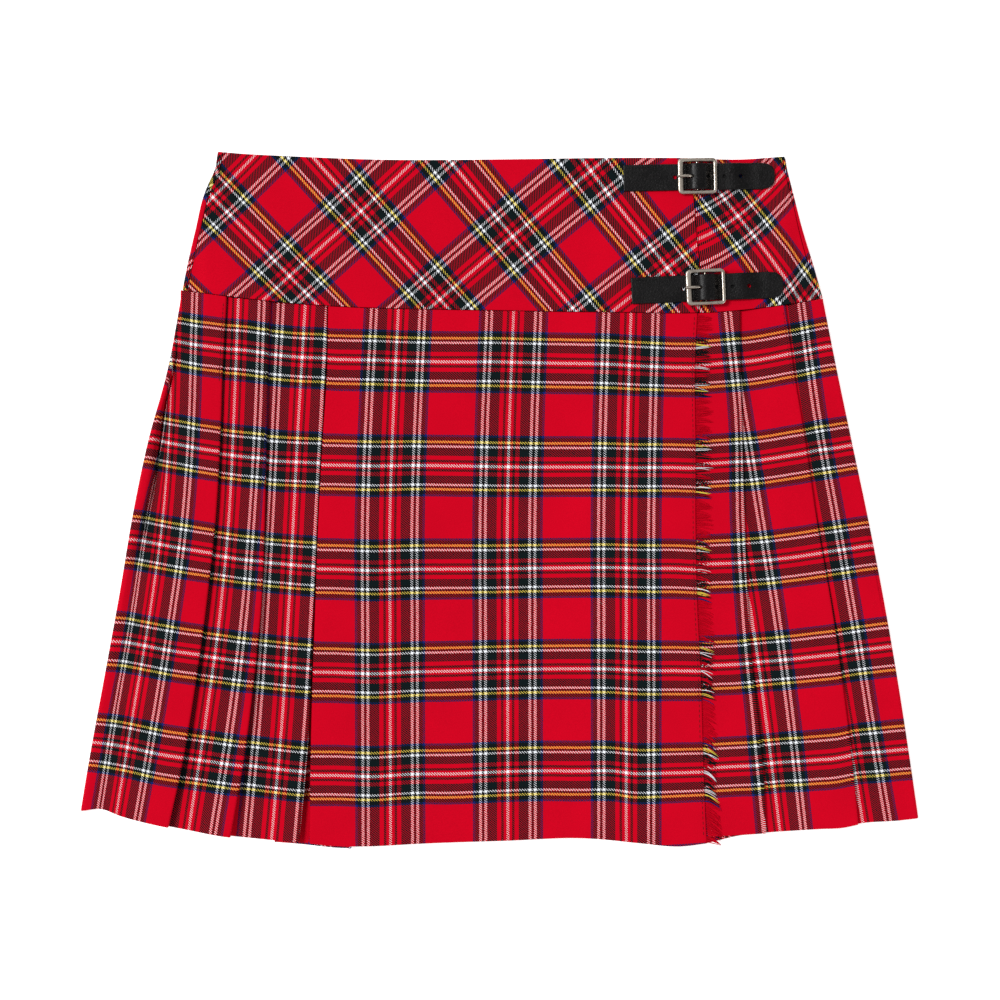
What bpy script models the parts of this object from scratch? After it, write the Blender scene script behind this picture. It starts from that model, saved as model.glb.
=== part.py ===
"""A tartan mini kilt laid flat, front up, fastened with two straps at the wearer's left hip.

The kilt lies in the XY plane with its waist towards +Y, and the floor is z = 0. Sizes and places
below are in millimetres, and MM turns them into Blender's metres when a mesh is made.

The cloth is laid in layers. Layer 0 is the back, face down on the floor; layers 3 to 5 are the
front pleats and the under-apron; the over-apron lies on them. Each pleated piece is worked out
as a row of sections, from the hip seam to the hem: a section is the line of the cloth seen from
the hem, which runs level, slopes, and folds back on itself.
"""
import math

import bmesh
import bpy
from mathutils import Matrix, Vector

MM = 0.001

# Cloth
CLOTH = 1.1              # thickness of the wool cloth
LAYER = 1.6              # height from one layer to the next
SEAM_GAP = 0.3           # between the pieces that a seam joins
FRONT_FOLD_STEPS = 4     # sides of a pleat's half-round fold, front and back
BACK_FOLD_STEPS = 3
MITRE_LEAST = 0.7        # a wall's corner is never thinned to less than this cosine
SETTLE_ROUNDS = 5        # rounds that find where a slanting line meets a station
PLEAT_SHARE = 0.42       # depth of a pleat's return, as a share of the panel's width
SLOPE_TOP = 5.0          # run of cloth that climbs over a fold, at the hip seam and at the hem
SLOPE_HEM = 9.0
FOLD_CLEARANCE = 1.0     # between a slope's foot and the fold beside it
BACK_TURN = 30.0         # side pleats turn this far round to the back
BACK_PLEATS = 13
BACK_FOLD_SHARE = 0.45   # place of a back pleat's fold, as a share of its panel
SLOPE_STEPS = 3          # steps of a slope on the front, and on the back
BACK_SLOPE_STEPS = 2
UNDER_STEPS = (6, 3, 3)  # steps of the under-apron up to, over and past the inverted pleat
OVER_STEPS = 4           # steps of each stretch of the over-apron
BACK_YOKE_STEPS = 4      # steps of each third of the back yoke
INVERTED_LAP = 14.0      # hidden seam of the inverted pleat, past the pleat's fold
UNDERLAY_DROP = 1.6      # the inverted pleat's hidden cloth shows this far below its hem
UNDER_EDGE = -95.0       # free inner edge of the under-apron
SIDE_STRIP_LEFT = 3.6    # back yoke that turns up and shows at the left edge, and at the right
SIDE_STRIP_RIGHT = 1.8
SIDE_STRIP_FLAT = 0.2    # least flat of that strip, past its turn
FRONT_STATIONS = (0.0, 0.07, 0.2, 0.38, 0.56, 0.74, 0.9, 1.0)
BACK_STATIONS = (0.0, 0.38, 0.74, 1.0)
YOKE_STATIONS = (0.0, 0.25, 0.36, 0.475, 0.59, 0.7, 1.0)
YOKE_COLUMNS = 20
RISE_START = 0.25        # the yoke climbs from the waist's layers to the pleats' between these
RISE_END = 0.70          # shares of its height
YOKE_MIDDLE = 175.0      # height of the yoke's middle

# Lines of the skirt, one row for each height: where each fold or edge is across the kilt
LINE_COLUMNS = ("y", "side_left", "fold_l3", "fold_l2", "fold_l1", "apron_fold", "apron_edge",
                "fold_r1", "fold_r2", "side_right")
LINE_ROWS = (
    (129.5, -207.5, -177.5, -149.0, -113.5, -112.0, 129.0, 156.5, 185.5, 210.5),
    (84.0, -216.0, -180.0, -150.5, -115.0, -113.5, 127.0, 157.0, 191.5, 219.5),
    (38.5, -228.0, -181.5, -151.5, -117.0, -115.0, 127.5, 158.0, 199.0, 229.0),
    (-13.5, -239.0, -184.5, -152.5, -119.5, -116.5, 127.5, 159.5, 206.5, 240.0),
    (-65.5, -248.0, -190.0, -154.5, -122.0, -118.0, 128.5, 161.5, 215.5, 250.0),
    (-117.5, -257.5, -197.0, -159.5, -125.0, -120.0, 131.0, 165.5, 223.0, 259.0),
    (-169.5, -267.0, -205.5, -166.0, -128.0, -121.5, 132.5, 171.0, 229.5, 267.0),
    (-221.5, -275.5, -217.0, -175.0, -131.5, -123.0, 134.5, 174.0, 234.5, 274.5),
)
# Edges of the yoke, one row for each height
YOKE_COLUMNS_AT = ("y", "left", "over_edge", "right")
YOKE_ROWS = (
    (226.2, -183.4, 124.5, 185.4),
    (214.2, -185.6, 125.2, 187.5),
    (201.2, -191.4, 125.8, 190.8),
    (175.2, -197.9, 127.6, 197.3),
    (149.2, -203.8, 129.2, 205.1),
    (129.7, -207.5, 128.6, 210.6),
)
# The hip seam's height along the kilt: a straight middle whose two ends bend up
SEAM_MIDDLE = 122.6
SEAM_TILT = -0.018
SEAM_LEFT_START = -70.0
SEAM_LEFT_BEND = 0.000527
SEAM_RIGHT_START = 105.0
SEAM_RIGHT_BEND = 0.001086
# Heights along the kilt of its top edge and its hems, one row for each place across
TOP_ROWS = ((-183.5, 226.2), (-168.7, 224.9), (-142.7, 223.5), (-116.7, 222.3), (-90.7, 221.3),
            (13.3, 221.3), (52.3, 221.9), (123.8, 222.0), (156.3, 221.3), (186.0, 223.3))
FRONT_HEM_ROWS = ((-272.7, -202.5), (-258.4, -201.2), (-246.7, -205.1), (-233.7, -208.3),
                  (-207.7, -213.5), (-181.7, -217.6), (-155.7, -220.0), (-131.5, -221.8),
                  (-103.7, -224.6), (-77.7, -224.6), (-51.7, -223.3), (0.3, -221.5),
                  (65.3, -220.0), (91.3, -222.6), (117.3, -224.6), (134.2, -222.6))
RIGHT_HEM_ROWS = ((-95.0, -217.0), (60.0, -216.5), (123.8, -218.7), (156.3, -217.4),
                  (182.3, -215.5), (208.3, -213.5), (221.3, -212.9), (234.3, -210.3),
                  (260.3, -208.3), (272.7, -207.0))
BACK_HEM_ROWS = ((-246.7, -205.1), (-233.7, -208.3), (-207.7, -213.5), (-181.7, -217.6),
                 (-130.0, -219.0), (-60.0, -219.5), (20.0, -217.5), (90.0, -219.0),
                 (118.0, -224.6), (132.0, -224.4), (150.0, -219.5), (182.3, -215.5),
                 (208.3, -213.5), (221.3, -212.9), (234.3, -210.3), (260.3, -208.3))
# Layer of each front yoke along the hip seam, and of the aprons below it, from left to right
OVER_LAYER_ROWS = ((-198.0, 3.0), (-190.0, 5.0), (-85.0, 5.0), (-65.0, 4.0), (39.0, 4.0),
                   (72.0, 6.0), (130.0, 6.0))
UNDER_LAYER_ROWS = ((39.0, 3.0), (72.0, 5.0), (186.5, 5.0), (193.0, 3.0))
BACK_LAYER = 0
UNDER_WAIST_LAYER = 1
OVER_WAIST_LAYER = 2

# Fringe on the over-apron's right edge
FRINGE_STRANDS = 132
FRINGE_STRIP = 2.0       # width of the backing strip
FRINGE_START = 119.0     # height of the first strand
FRINGE_ROOT_SHARE = 0.72  # share of its pitch that a strand's root takes
FRINGE_BAY = 12          # strands to a face of the strip
STRAND_WIDTHS = ((0.45, 1.25, 0.8), (1.0, 0.8, 0.55))  # share of reach, width, thickness
STRAND_REST = 0.3        # air under a strand
FRINGE_COLUMNS = ("y", "reach", "droop")
FRINGE_ROWS = (
    (121.0, 9.5, 0.8),
    (0.0, 10.0, 1.0),
    (-90.0, 9.2, 2.6),
    (-150.0, 8.8, 5.6),
    (-195.0, 9.4, 6.6),
    (-208.0, 12.0, 12.0),
    (-223.0, 11.0, 2.2),
)

# Straps and buckles, in a frame of their own: u along the strap from the buckle's centre bar,
# v across it, w up from the face of the over-yoke
FASTENINGS = (
    # name, centre x, centre y, tilt in degrees, layer of the over-yoke there
    ("upper", 128.3, 209.8, 1.1, 2),
    ("lower", 133.1, 137.3, 2.6, 6),
)
STRAP_THICK = 1.6
STRAP_SHIFT = -0.3       # the strap lies this far off the buckle's middle
STRAP_ROWS = (
    # u, half width, floor
    (-47.9, 8.5, 0.3),
    (-30.0, 8.6, 0.3),
    (-12.0, 8.5, 0.3),
    (-8.9, 8.4, 0.3),
    (-7.52, 8.4, 0.75),
    (-6.14, 8.4, 1.92),
    (-4.76, 8.4, 3.38),
    (-3.38, 8.4, 4.55),
    (-2.0, 8.4, 5.0),
    (2.0, 8.4, 5.0),
    (3.6, 8.4, 4.55),
    (5.2, 8.4, 3.38),
    (6.8, 8.4, 1.92),
    (8.4, 8.4, 0.75),
    (10.0, 8.5, 0.3),
    (16.0, 8.6, 0.1),
    (26.5, 8.6, 0.1),
    (32.0, 8.6, -1.3),
    (42.0, 8.5, -1.3),
    (45.5, 8.0, -1.3),
    (48.0, 6.8, -1.3),
    (49.8, 4.9, -1.3),
    (50.6, 2.6, -1.3),
)
HOLE_PLACES = (-14.6, -4.2, 7.2, 17.6, 28.3)
HOLE_RADIUS = 1.3
PRONG_HOLE = 1           # index of the hole that the prong comes through
PRONG_HOLE_STRETCH = 1.55
HOLE_SIDES = 12
HOLE_CUT = (-4.0, 10.0)  # heights between which a hole is cut
FRAME_LEFT = -12.75
FRAME_RIGHT = 12.75
FRAME_HALF_HEIGHT = 11.65
FRAME_BAR_LEFT = 3.6     # the bar that the prong's tip rests on is the widest
FRAME_BAR = 2.4
FRAME_FLOOR = 2.2
FRAME_THICK = 2.4
FRAME_CORNER = 3.2
FRAME_CORNER_STEPS = 4
FRAME_BEVEL = 0.7
FRAME_BEVEL_STEPS = 2
FRAME_BEVEL_ANGLE = 50.0  # edges sharper than this are rounded
BAR_RADIUS = 0.8
BAR_HEIGHT = 2.4         # height of the centre bar's middle
BAR_SIDES = 12
TAB_THICK = 1.0
TAB_HALF_WIDTH = 7.6
TAB_LEAF = ((25.0, -0.8), (6.0, -0.8), (4.4, -0.55), (2.2, 0.25))  # u and w, on the under-yoke
TAB_WRAP_STEPS = 9       # steps of 30 degrees round the centre bar, from straight below it
TAB_END = (2.4, 1.95)
TAB_AIR = 0.3
TAB_SLOT = 4.2           # width of the slot that the prong works in
TAB_SLOT_ENDS = (-4.0, 3.6)
TAB_SLOT_CUT = (-0.6, 6.0)
PRONG_RADIUS = 0.6
PRONG_SIDES_LEVEL = 2    # bevel resolution, which gives eight sides
HOOK_START = 205.0       # the prong's hook starts at this angle round the centre bar
HOOK_STEP = 25.0
HOOK_STEPS = 9
PRONG_SHAFT = ((-1.8, 4.1), (-3.2, 4.65), (-4.6, 5.35), (-6.2, 5.8), (-9.0, 5.75), (-13.0, 5.5))

# Colours of each piece's finish, as red, green and blue from 0 to 1
TARTAN_RED = (0.55, 0.01, 0.03)
LEATHER_BLACK = (0.015, 0.015, 0.016)
NICKEL = (0.62, 0.60, 0.57)


def clear_scene():
    for old in list(bpy.data.objects):
        bpy.data.objects.remove(old, do_unlink=True)


def finish(name, colour, roughness, metallic):
    material = bpy.data.materials.new(name)
    material.use_nodes = True
    shader = material.node_tree.nodes["Principled BSDF"]
    shader.inputs["Base Color"].default_value = (*colour, 1.0)
    shader.inputs["Roughness"].default_value = roughness
    shader.inputs["Metallic"].default_value = metallic
    return material


def read(rows, value, column=1):
    """The column's value at a place along the rows, which go up or down in their first column."""
    ordered = rows if rows[0][0] < rows[-1][0] else rows[::-1]
    if value <= ordered[0][0]:
        return ordered[0][column]
    for low, high in zip(ordered, ordered[1:]):
        if value <= high[0]:
            share = (value - low[0]) / (high[0] - low[0])
            return low[column] + share * (high[column] - low[column])
    return ordered[-1][column]


def seam_height(x):
    left = max(SEAM_LEFT_START - x, 0.0)
    right = max(x - SEAM_RIGHT_START, 0.0)
    return (SEAM_MIDDLE + SEAM_TILT * x
            + SEAM_LEFT_BEND * left * left + SEAM_RIGHT_BEND * right * right)


def smooth(share):
    share = min(max(share, 0.0), 1.0)
    return share * share * (3.0 - 2.0 * share)


def height(layer):
    """Height of the middle of the cloth in a layer."""
    return CLOTH / 2 + LAYER * layer


class Walk:
    """A line of cloth seen from the hem, as points of (x, z)."""

    def __init__(self, x, z, fold_steps):
        self.points = [(x, z)]
        self.fold_steps = fold_steps

    def run(self, x, z=None, steps=1):
        """Go on to a new place, sloping softly if its height differs."""
        old_x, old_z = self.points[-1]
        new_z = old_z if z is None else z
        for step in range(1, steps + 1):
            share = step / steps
            self.points.append((old_x + (x - old_x) * share,
                                old_z + (new_z - old_z) * smooth(share)))

    def fold(self, edge, z):
        """Go on to a fold whose outside reaches the edge, and turn back at another height."""
        old_x, old_z = self.points[-1]
        side = math.copysign(1.0, edge - old_x)
        radius = abs(z - old_z) / 2
        centre = edge - side * (radius + CLOTH / 2)
        self.points.append((centre, old_z))
        for step in range(1, self.fold_steps + 1):
            angle = math.pi * step / self.fold_steps
            self.points.append((centre + side * radius * math.sin(angle),
                                old_z + (z - old_z) * (1 - math.cos(angle)) / 2))


def offsets(line, thickness):
    """The two faces of a wall of even thickness about a line of (x, z) points."""
    faces = []
    for index, (x, z) in enumerate(line):
        before = line[max(index - 1, 0)]
        after = line[min(index + 1, len(line) - 1)]
        here = Vector((x, z))
        into = (here - Vector(before)) if index > 0 else (Vector(after) - here)
        out = (Vector(after) - here) if index < len(line) - 1 else into
        mean = into.normalized() + out.normalized()
        mean.normalize()
        normal = Vector((-mean.y, mean.x))
        reach = thickness / 2 / max(mean.dot(into.normalized()), MITRE_LEAST)
        faces.append((here + normal * reach, here - normal * reach))
    return faces


def mesh_object(name, verts, faces, material):
    mesh = bpy.data.meshes.new(name)
    mesh.from_pydata([Vector(vert) * MM for vert in verts], [], faces)
    work = bmesh.new()
    work.from_mesh(mesh)
    bmesh.ops.recalc_face_normals(work, faces=work.faces)
    work.to_mesh(mesh)
    work.free()
    mesh.materials.append(material)
    piece = bpy.data.objects.new(name, mesh)
    bpy.context.scene.collection.objects.link(piece)
    return piece


def wall(name, sections, thickness, material):
    """A closed wall through sections. Each section is a row of (x, y, z) points, all alike in
    number, and the wall's thickness lies in the plane of x and z."""
    verts = []
    for section in sections:
        faces = offsets([(x, z) for x, _, z in section], thickness)
        for (_, y, _), (first, second) in zip(section, faces):
            verts.append((first.x, y, first.y))
            verts.append((second.x, y, second.y))
    count = len(sections[0])
    last = len(sections) - 1

    def at(station, index, side):
        return (station * count + index) * 2 + side

    polygons = []
    for station in range(last):
        for index in range(count - 1):
            for side in (0, 1):
                polygons.append((at(station, index, side), at(station, index + 1, side),
                                 at(station + 1, index + 1, side), at(station + 1, index, side)))
        for index in (0, count - 1):
            polygons.append((at(station, index, 0), at(station, index, 1),
                             at(station + 1, index, 1), at(station + 1, index, 0)))
    for station in (0, last):
        for index in range(count - 1):
            polygons.append((at(station, index, 0), at(station, index + 1, 0),
                             at(station, index + 1, 1), at(station, index, 1)))
    return mesh_object(name, verts, polygons, material)


def skirt_height(x, share, hem):
    """Height along the kilt at a share of the way from the hip seam to the hem."""
    top = seam_height(x) - SEAM_GAP / 2
    return top + share * (read(hem, x) - top)


def line_place(name, share, hem):
    """Where a named line of the skirt crosses a share of the way down."""
    column = LINE_COLUMNS.index(name)
    x = read(LINE_ROWS, 0.0, column)
    for _ in range(SETTLE_ROUNDS):
        x = read(LINE_ROWS, skirt_height(x, share, hem), column)
    return x


def back_seam(name, share, hem, turn):
    """Where the cloth that turns round a side ends on the back, straight between its sections."""
    rows = [(station, line_place(name, station, hem) + turn) for station in BACK_STATIONS]
    return read(rows, share)


def skirt_section(walk, share, hem, drops=()):
    """The walk's points with their heights along the kilt. Each drop is a first point, a last
    point and how far the cloth between them reaches below the hem."""
    section = []
    for index, (x, z) in enumerate(walk.points):
        y = skirt_height(x, share, hem)
        for first, last, drop in drops:
            if first <= index <= last:
                y -= drop * share
        section.append((x, y, z))
    return section


def slope_run(share):
    return SLOPE_TOP + (SLOPE_HEM - SLOPE_TOP) * share


def skirt_left(material):
    """The left pleats: from the inverted pleat's hidden seam, leftwards over three pleats, and
    round the side to the back."""
    sections = []
    for share in FRONT_STATIONS:
        slope = slope_run(share)
        side = line_place("side_left", share, FRONT_HEM_ROWS)
        edges = [line_place(name, share, FRONT_HEM_ROWS)
                 for name in ("fold_l1", "fold_l2", "fold_l3")]
        ends = edges[1:] + [side]
        walk = Walk(edges[0] + INVERTED_LAP, height(3), FRONT_FOLD_STEPS)
        for edge, end in zip(edges, ends):
            depth = PLEAT_SHARE * (edge - end)
            walk.fold(edge - depth, height(4))
            walk.fold(edge, height(5))
            if end > side:
                walk.run((edge + end) / 2)
                walk.run(end + FOLD_CLEARANCE + slope)
                walk.run(end + FOLD_CLEARANCE, height(3), SLOPE_STEPS)
            else:
                walk.run(edge - depth - FOLD_CLEARANCE)
                walk.run(edge - depth - FOLD_CLEARANCE - slope, height(3), SLOPE_STEPS)
        walk.fold(side, height(BACK_LAYER))
        walk.run(back_seam("side_left", share, FRONT_HEM_ROWS, BACK_TURN))
        hidden = (0, FRONT_FOLD_STEPS, UNDERLAY_DROP)
        sections.append(skirt_section(walk, share, FRONT_HEM_ROWS, (hidden,)))
    return wall("skirt_left", sections, CLOTH, material)


def apron_under(material):
    """The under-apron with the two right pleats, and round the side to the back."""
    sections = []
    for share in FRONT_STATIONS:
        slope = slope_run(share)
        side = line_place("side_right", share, RIGHT_HEM_ROWS)
        first = line_place("fold_r1", share, RIGHT_HEM_ROWS)
        second = line_place("fold_r2", share, RIGHT_HEM_ROWS)
        before = read(LINE_ROWS, 0.0, LINE_COLUMNS.index("apron_edge"))
        walk = Walk(UNDER_EDGE, height(3), FRONT_FOLD_STEPS)
        level, climb, rest = UNDER_STEPS
        walk.run(UNDER_LAYER_ROWS[0][0], steps=level)
        walk.run(UNDER_LAYER_ROWS[1][0], height(5), climb)
        walk.run(before, steps=rest)
        for edge, start in ((first, before), (second, first)):
            depth = PLEAT_SHARE * (edge - start)
            walk.fold(edge, height(4))
            walk.fold(edge - depth, height(3))
            walk.run(edge + FOLD_CLEARANCE)
            if edge is first:
                walk.run(edge + FOLD_CLEARANCE + slope, height(5), SLOPE_STEPS)
                walk.run((edge + slope + second) / 2)
            else:
                walk.run((edge + side) / 2)
        walk.fold(side, height(BACK_LAYER))
        walk.run(back_seam("side_right", share, RIGHT_HEM_ROWS, -BACK_TURN))
        sections.append(skirt_section(walk, share, RIGHT_HEM_ROWS))
    return wall("apron_under", sections, CLOTH, material)


def apron_over(material):
    """The over-apron: from the fringed edge, leftwards to its folded edge, and back under it to
    the inverted pleat's hidden seam."""
    sections = []
    for share in FRONT_STATIONS:
        edge = line_place("apron_edge", share, FRONT_HEM_ROWS)
        fold = line_place("apron_fold", share, FRONT_HEM_ROWS)
        seam = line_place("fold_l1", share, FRONT_HEM_ROWS) + INVERTED_LAP + SEAM_GAP
        walk = Walk(edge - FRINGE_STRIP - SEAM_GAP, height(6), FRONT_FOLD_STEPS)
        for place, layer in reversed(OVER_LAYER_ROWS[2:6]):
            walk.run(place, height(layer), OVER_STEPS)
        walk.fold(fold, height(4))
        walk.fold(UNDER_EDGE - FOLD_CLEARANCE, height(3))
        walk.run(seam)
        last = len(walk.points) - 1
        hidden = (last - FRONT_FOLD_STEPS, last, UNDERLAY_DROP)
        sections.append(skirt_section(walk, share, FRONT_HEM_ROWS, (hidden,)))
    return wall("apron_over", sections, CLOTH, material)


def skirt_back(material):
    """The back pleats, face down, between the two side turns."""
    sections = []
    for share in BACK_STATIONS:
        slope = slope_run(share)
        left = back_seam("side_left", share, FRONT_HEM_ROWS, BACK_TURN) + SEAM_GAP
        right = back_seam("side_right", share, RIGHT_HEM_ROWS, -BACK_TURN) - SEAM_GAP
        panel = (right - left) / BACK_PLEATS
        walk = Walk(left, height(0), BACK_FOLD_STEPS)
        for pleat in range(BACK_PLEATS):
            edge = left + panel * (pleat + BACK_FOLD_SHARE)
            walk.run(edge - FOLD_CLEARANCE - slope)
            walk.run(edge - FOLD_CLEARANCE, height(2), BACK_SLOPE_STEPS)
            walk.fold(edge + PLEAT_SHARE * panel, height(1))
            walk.fold(edge, height(0))
        walk.run(right)
        sections.append(skirt_section(walk, share, BACK_HEM_ROWS))
    return wall("skirt_back", sections, CLOTH, material)


def yoke_height(x, share):
    """Height along the kilt at a share of the way from the waist to the hip seam."""
    top = read(TOP_ROWS, x)
    return top + share * (seam_height(x) + SEAM_GAP / 2 - top)


def yoke_place(name, share):
    """Where a named edge of the yoke crosses a share of the way down."""
    column = YOKE_COLUMNS_AT.index(name)
    x = read(YOKE_ROWS, YOKE_MIDDLE, column)
    for _ in range(SETTLE_ROUNDS):
        x = read(YOKE_ROWS, yoke_height(x, share), column)
    return x


def yoke_rise(x, share, waist_layer, layer_rows):
    """Height above the floor of a front yoke, which climbs to meet the pleats at the seam."""
    climb = smooth((share - RISE_START) / (RISE_END - RISE_START))
    return height(waist_layer + climb * (read(layer_rows, x) - waist_layer))


def side_seam(edge_name, share, strip, waist_layer, layer_rows):
    """Place and height of the side seam: the back yoke's turned-up strip ends there."""
    edge = yoke_place(edge_name, share)
    inward = 1.0 if edge < 0 else -1.0
    front = yoke_rise(edge, share, waist_layer, layer_rows)
    turn = (front - height(BACK_LAYER)) / 2 + CLOTH / 2 + SIDE_STRIP_FLAT
    return edge + inward * max(strip, turn), front


def left_side_seam(share):
    return side_seam("left", share, SIDE_STRIP_LEFT, OVER_WAIST_LAYER, OVER_LAYER_ROWS)


def right_side_seam(share):
    return side_seam("right", share, SIDE_STRIP_RIGHT, UNDER_WAIST_LAYER, UNDER_LAYER_ROWS)


def front_yoke(name, left_of, right_of, waist_layer, layer_rows, material):
    sections = []
    for share in YOKE_STATIONS:
        left = left_of(share)
        right = right_of(share)
        section = []
        for column in range(YOKE_COLUMNS + 1):
            x = left + (right - left) * column / YOKE_COLUMNS
            section.append((x, yoke_height(x, share), yoke_rise(x, share, waist_layer, layer_rows)))
        sections.append(section)
    return wall(name, sections, CLOTH, material)


def yoke_over(material):
    """The over-apron's yoke, from the left side seam to its free edge under the buckles."""
    def left(share):
        return left_side_seam(share)[0] + SEAM_GAP

    def right(share):
        return yoke_place("over_edge", share)

    return front_yoke("yoke_over", left, right, OVER_WAIST_LAYER, OVER_LAYER_ROWS, material)


def yoke_under(material):
    """The under-apron's yoke, from its hidden free edge to the right side seam."""
    def left(share):
        return UNDER_EDGE

    def right(share):
        return right_side_seam(share)[0] - SEAM_GAP

    return front_yoke("yoke_under", left, right, UNDER_WAIST_LAYER, UNDER_LAYER_ROWS, material)


def yoke_back(material):
    """The back yoke, flat on the floor, turned up at both sides to meet the front yokes."""
    sections = []
    for share in YOKE_STATIONS:
        left = yoke_place("left", share)
        right = yoke_place("right", share)
        left_seam, left_front = left_side_seam(share)
        right_seam, right_front = right_side_seam(share)
        walk = Walk(left_seam, left_front, FRONT_FOLD_STEPS)
        walk.fold(left, height(BACK_LAYER))
        walk.run(left + (right - left) / 3, steps=BACK_YOKE_STEPS)
        walk.run(left + (right - left) * 2 / 3, steps=BACK_YOKE_STEPS)
        walk.run(right - (left_seam - left) * 2, steps=BACK_YOKE_STEPS)
        walk.fold(right, right_front)
        walk.run(right_seam)
        section = [(x, yoke_height(x, share), z) for x, z in walk.points]
        sections.append(section)
    return wall("yoke_back", sections, CLOTH, material)


def apron_edge_rows():
    """The over-apron's right edge as rows of (height, place), one for each section."""
    places = [line_place("apron_edge", share, FRONT_HEM_ROWS) for share in FRONT_STATIONS]
    return [(skirt_height(x, share, FRONT_HEM_ROWS), x) for x, share in zip(places, FRONT_STATIONS)]


def fringe(material):
    """The frayed edge of the over-apron: strands on a narrow strip parted from the cloth."""
    last = read(FRONT_HEM_ROWS, FRONT_HEM_ROWS[-1][0])
    pitch = (FRINGE_START - last) / FRINGE_STRANDS
    top = height(6) + CLOTH / 2
    floor = height(6) - CLOTH / 2
    strand_bed = height(5) + CLOTH / 2 + STRAND_REST
    edge_rows = apron_edge_rows()
    verts = []
    faces = []
    strip = []

    def edge_at(y):
        return read(edge_rows, y)

    def add(points):
        verts.extend(points)
        return list(range(len(verts) - len(points), len(verts)))

    def back_at(y):
        back = edge_at(y) - FRINGE_STRIP
        return add([(back, y, top), (back, y, floor)])

    for strand in range(FRINGE_STRANDS):
        high = FRINGE_START - pitch * strand
        low = high - pitch * FRINGE_ROOT_SHARE
        middle = (high + low) / 2
        root = add([(edge_at(high), high, top), (edge_at(high), high, floor),
                    (edge_at(low), low, floor), (edge_at(low), low, top)])
        strip.append(root)
        reach = read(FRINGE_ROWS, middle, FRINGE_COLUMNS.index("reach"))
        droop = read(FRINGE_ROWS, middle, FRINGE_COLUMNS.index("droop"))
        ring = root
        for share, width, thick in STRAND_WIDTHS:
            x = edge_at(middle) + reach * share
            y = middle - droop * share * share
            half = width / 2
            new = add([(x, y + half, strand_bed + thick), (x, y + half, strand_bed),
                       (x, y - half, strand_bed), (x, y - half, strand_bed + thick)])
            for side in range(4):
                turn = (side + 1) % 4
                faces.append((ring[side], ring[turn], new[turn], new[side]))
            ring = new
        faces.append(tuple(ring))
    for above, below in zip(strip, strip[1:]):
        faces.append((above[3], above[2], below[1], below[0]))

    # the strip's back edge, in bays of a few strands, so that its faces stay simple
    backs = []
    for first in range(0, FRINGE_STRANDS, FRINGE_BAY):
        y = verts[strip[first][0]][1]
        backs.append(back_at(y))
    backs.append(back_at(verts[strip[-1][3]][1]))
    for number in range(len(backs) - 1):
        end = (number + 1) * FRINGE_BAY
        members = strip[number * FRINGE_BAY:end]
        following = strip[end:end + 1]
        upper = [index for root in members for index in (root[0], root[3])]
        lower = [index for root in members for index in (root[1], root[2])]
        upper += [root[0] for root in following]
        lower += [root[1] for root in following]
        faces.append((backs[number][0], *upper, backs[number + 1][0]))
        faces.append((backs[number + 1][1], *reversed(lower), backs[number][1]))
        faces.append((backs[number][0], backs[number + 1][0], backs[number + 1][1], backs[number][1]))
    faces.append((backs[0][0], backs[0][1], strip[0][1], strip[0][0]))
    faces.append((backs[-1][1], backs[-1][0], strip[-1][3], strip[-1][2]))
    return mesh_object("fringe", verts, faces, material)


def cutter(name, verts, faces):
    shape = mesh_object(name, verts, faces, bpy.data.materials["cutting_shape"])
    shape.hide_render = True
    shape.display_type = "WIRE"
    return shape


def prism(outline, low, high):
    """Vertices and faces of an upright prism over an outline of (x, y) points."""
    count = len(outline)
    verts = [(x, y, low) for x, y in outline] + [(x, y, high) for x, y in outline]
    faces = [tuple(reversed(range(count))), tuple(range(count, 2 * count))]
    for index in range(count):
        turn = (index + 1) % count
        faces.append((index, turn, count + turn, count + index))
    return verts, faces


def cut(piece, shape, operation):
    modifier = piece.modifiers.new(operation.lower(), "BOOLEAN")
    modifier.operation = operation
    modifier.object = shape
    modifier.solver = "EXACT"


def strap(name, material):
    """A leather strap that lies on the yoke, dives under the buckle's outer bars and humps over
    its centre bar. It is pierced by five holes."""
    middle = STRAP_THICK / 2
    sections = []
    for side in (-1.0, 1.0):
        sections.append([(u, STRAP_SHIFT + side * half, floor + middle)
                         for u, half, floor in STRAP_ROWS])
    piece = wall(name, sections, STRAP_THICK, material)
    for number, place in enumerate(HOLE_PLACES):
        stretch = PRONG_HOLE_STRETCH if number == PRONG_HOLE else 1.0
        outline = []
        for side in range(HOLE_SIDES):
            angle = 2 * math.pi * (side + 0.5) / HOLE_SIDES
            outline.append((place + HOLE_RADIUS * stretch * math.cos(angle),
                            STRAP_SHIFT + HOLE_RADIUS * math.sin(angle)))
        shape = cutter(f"{name}_hole_{number}", *prism(outline, *HOLE_CUT))
        cut(piece, shape, "DIFFERENCE")
    return piece


def rounded_outline(left, right, half_height, corner):
    outline = []
    corners = ((right, 1, 0.0), (left, 1, 0.5), (left, -1, 1.0), (right, -1, 1.5))
    for x, up, start in corners:
        centre_x = x - corner if x == right else x + corner
        centre_y = up * (half_height - corner)
        for step in range(FRAME_CORNER_STEPS):
            angle = math.pi * (start + 0.5 * step / (FRAME_CORNER_STEPS - 1))
            outline.append((centre_x + corner * math.cos(angle), centre_y + corner * math.sin(angle)))
    return outline


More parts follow.
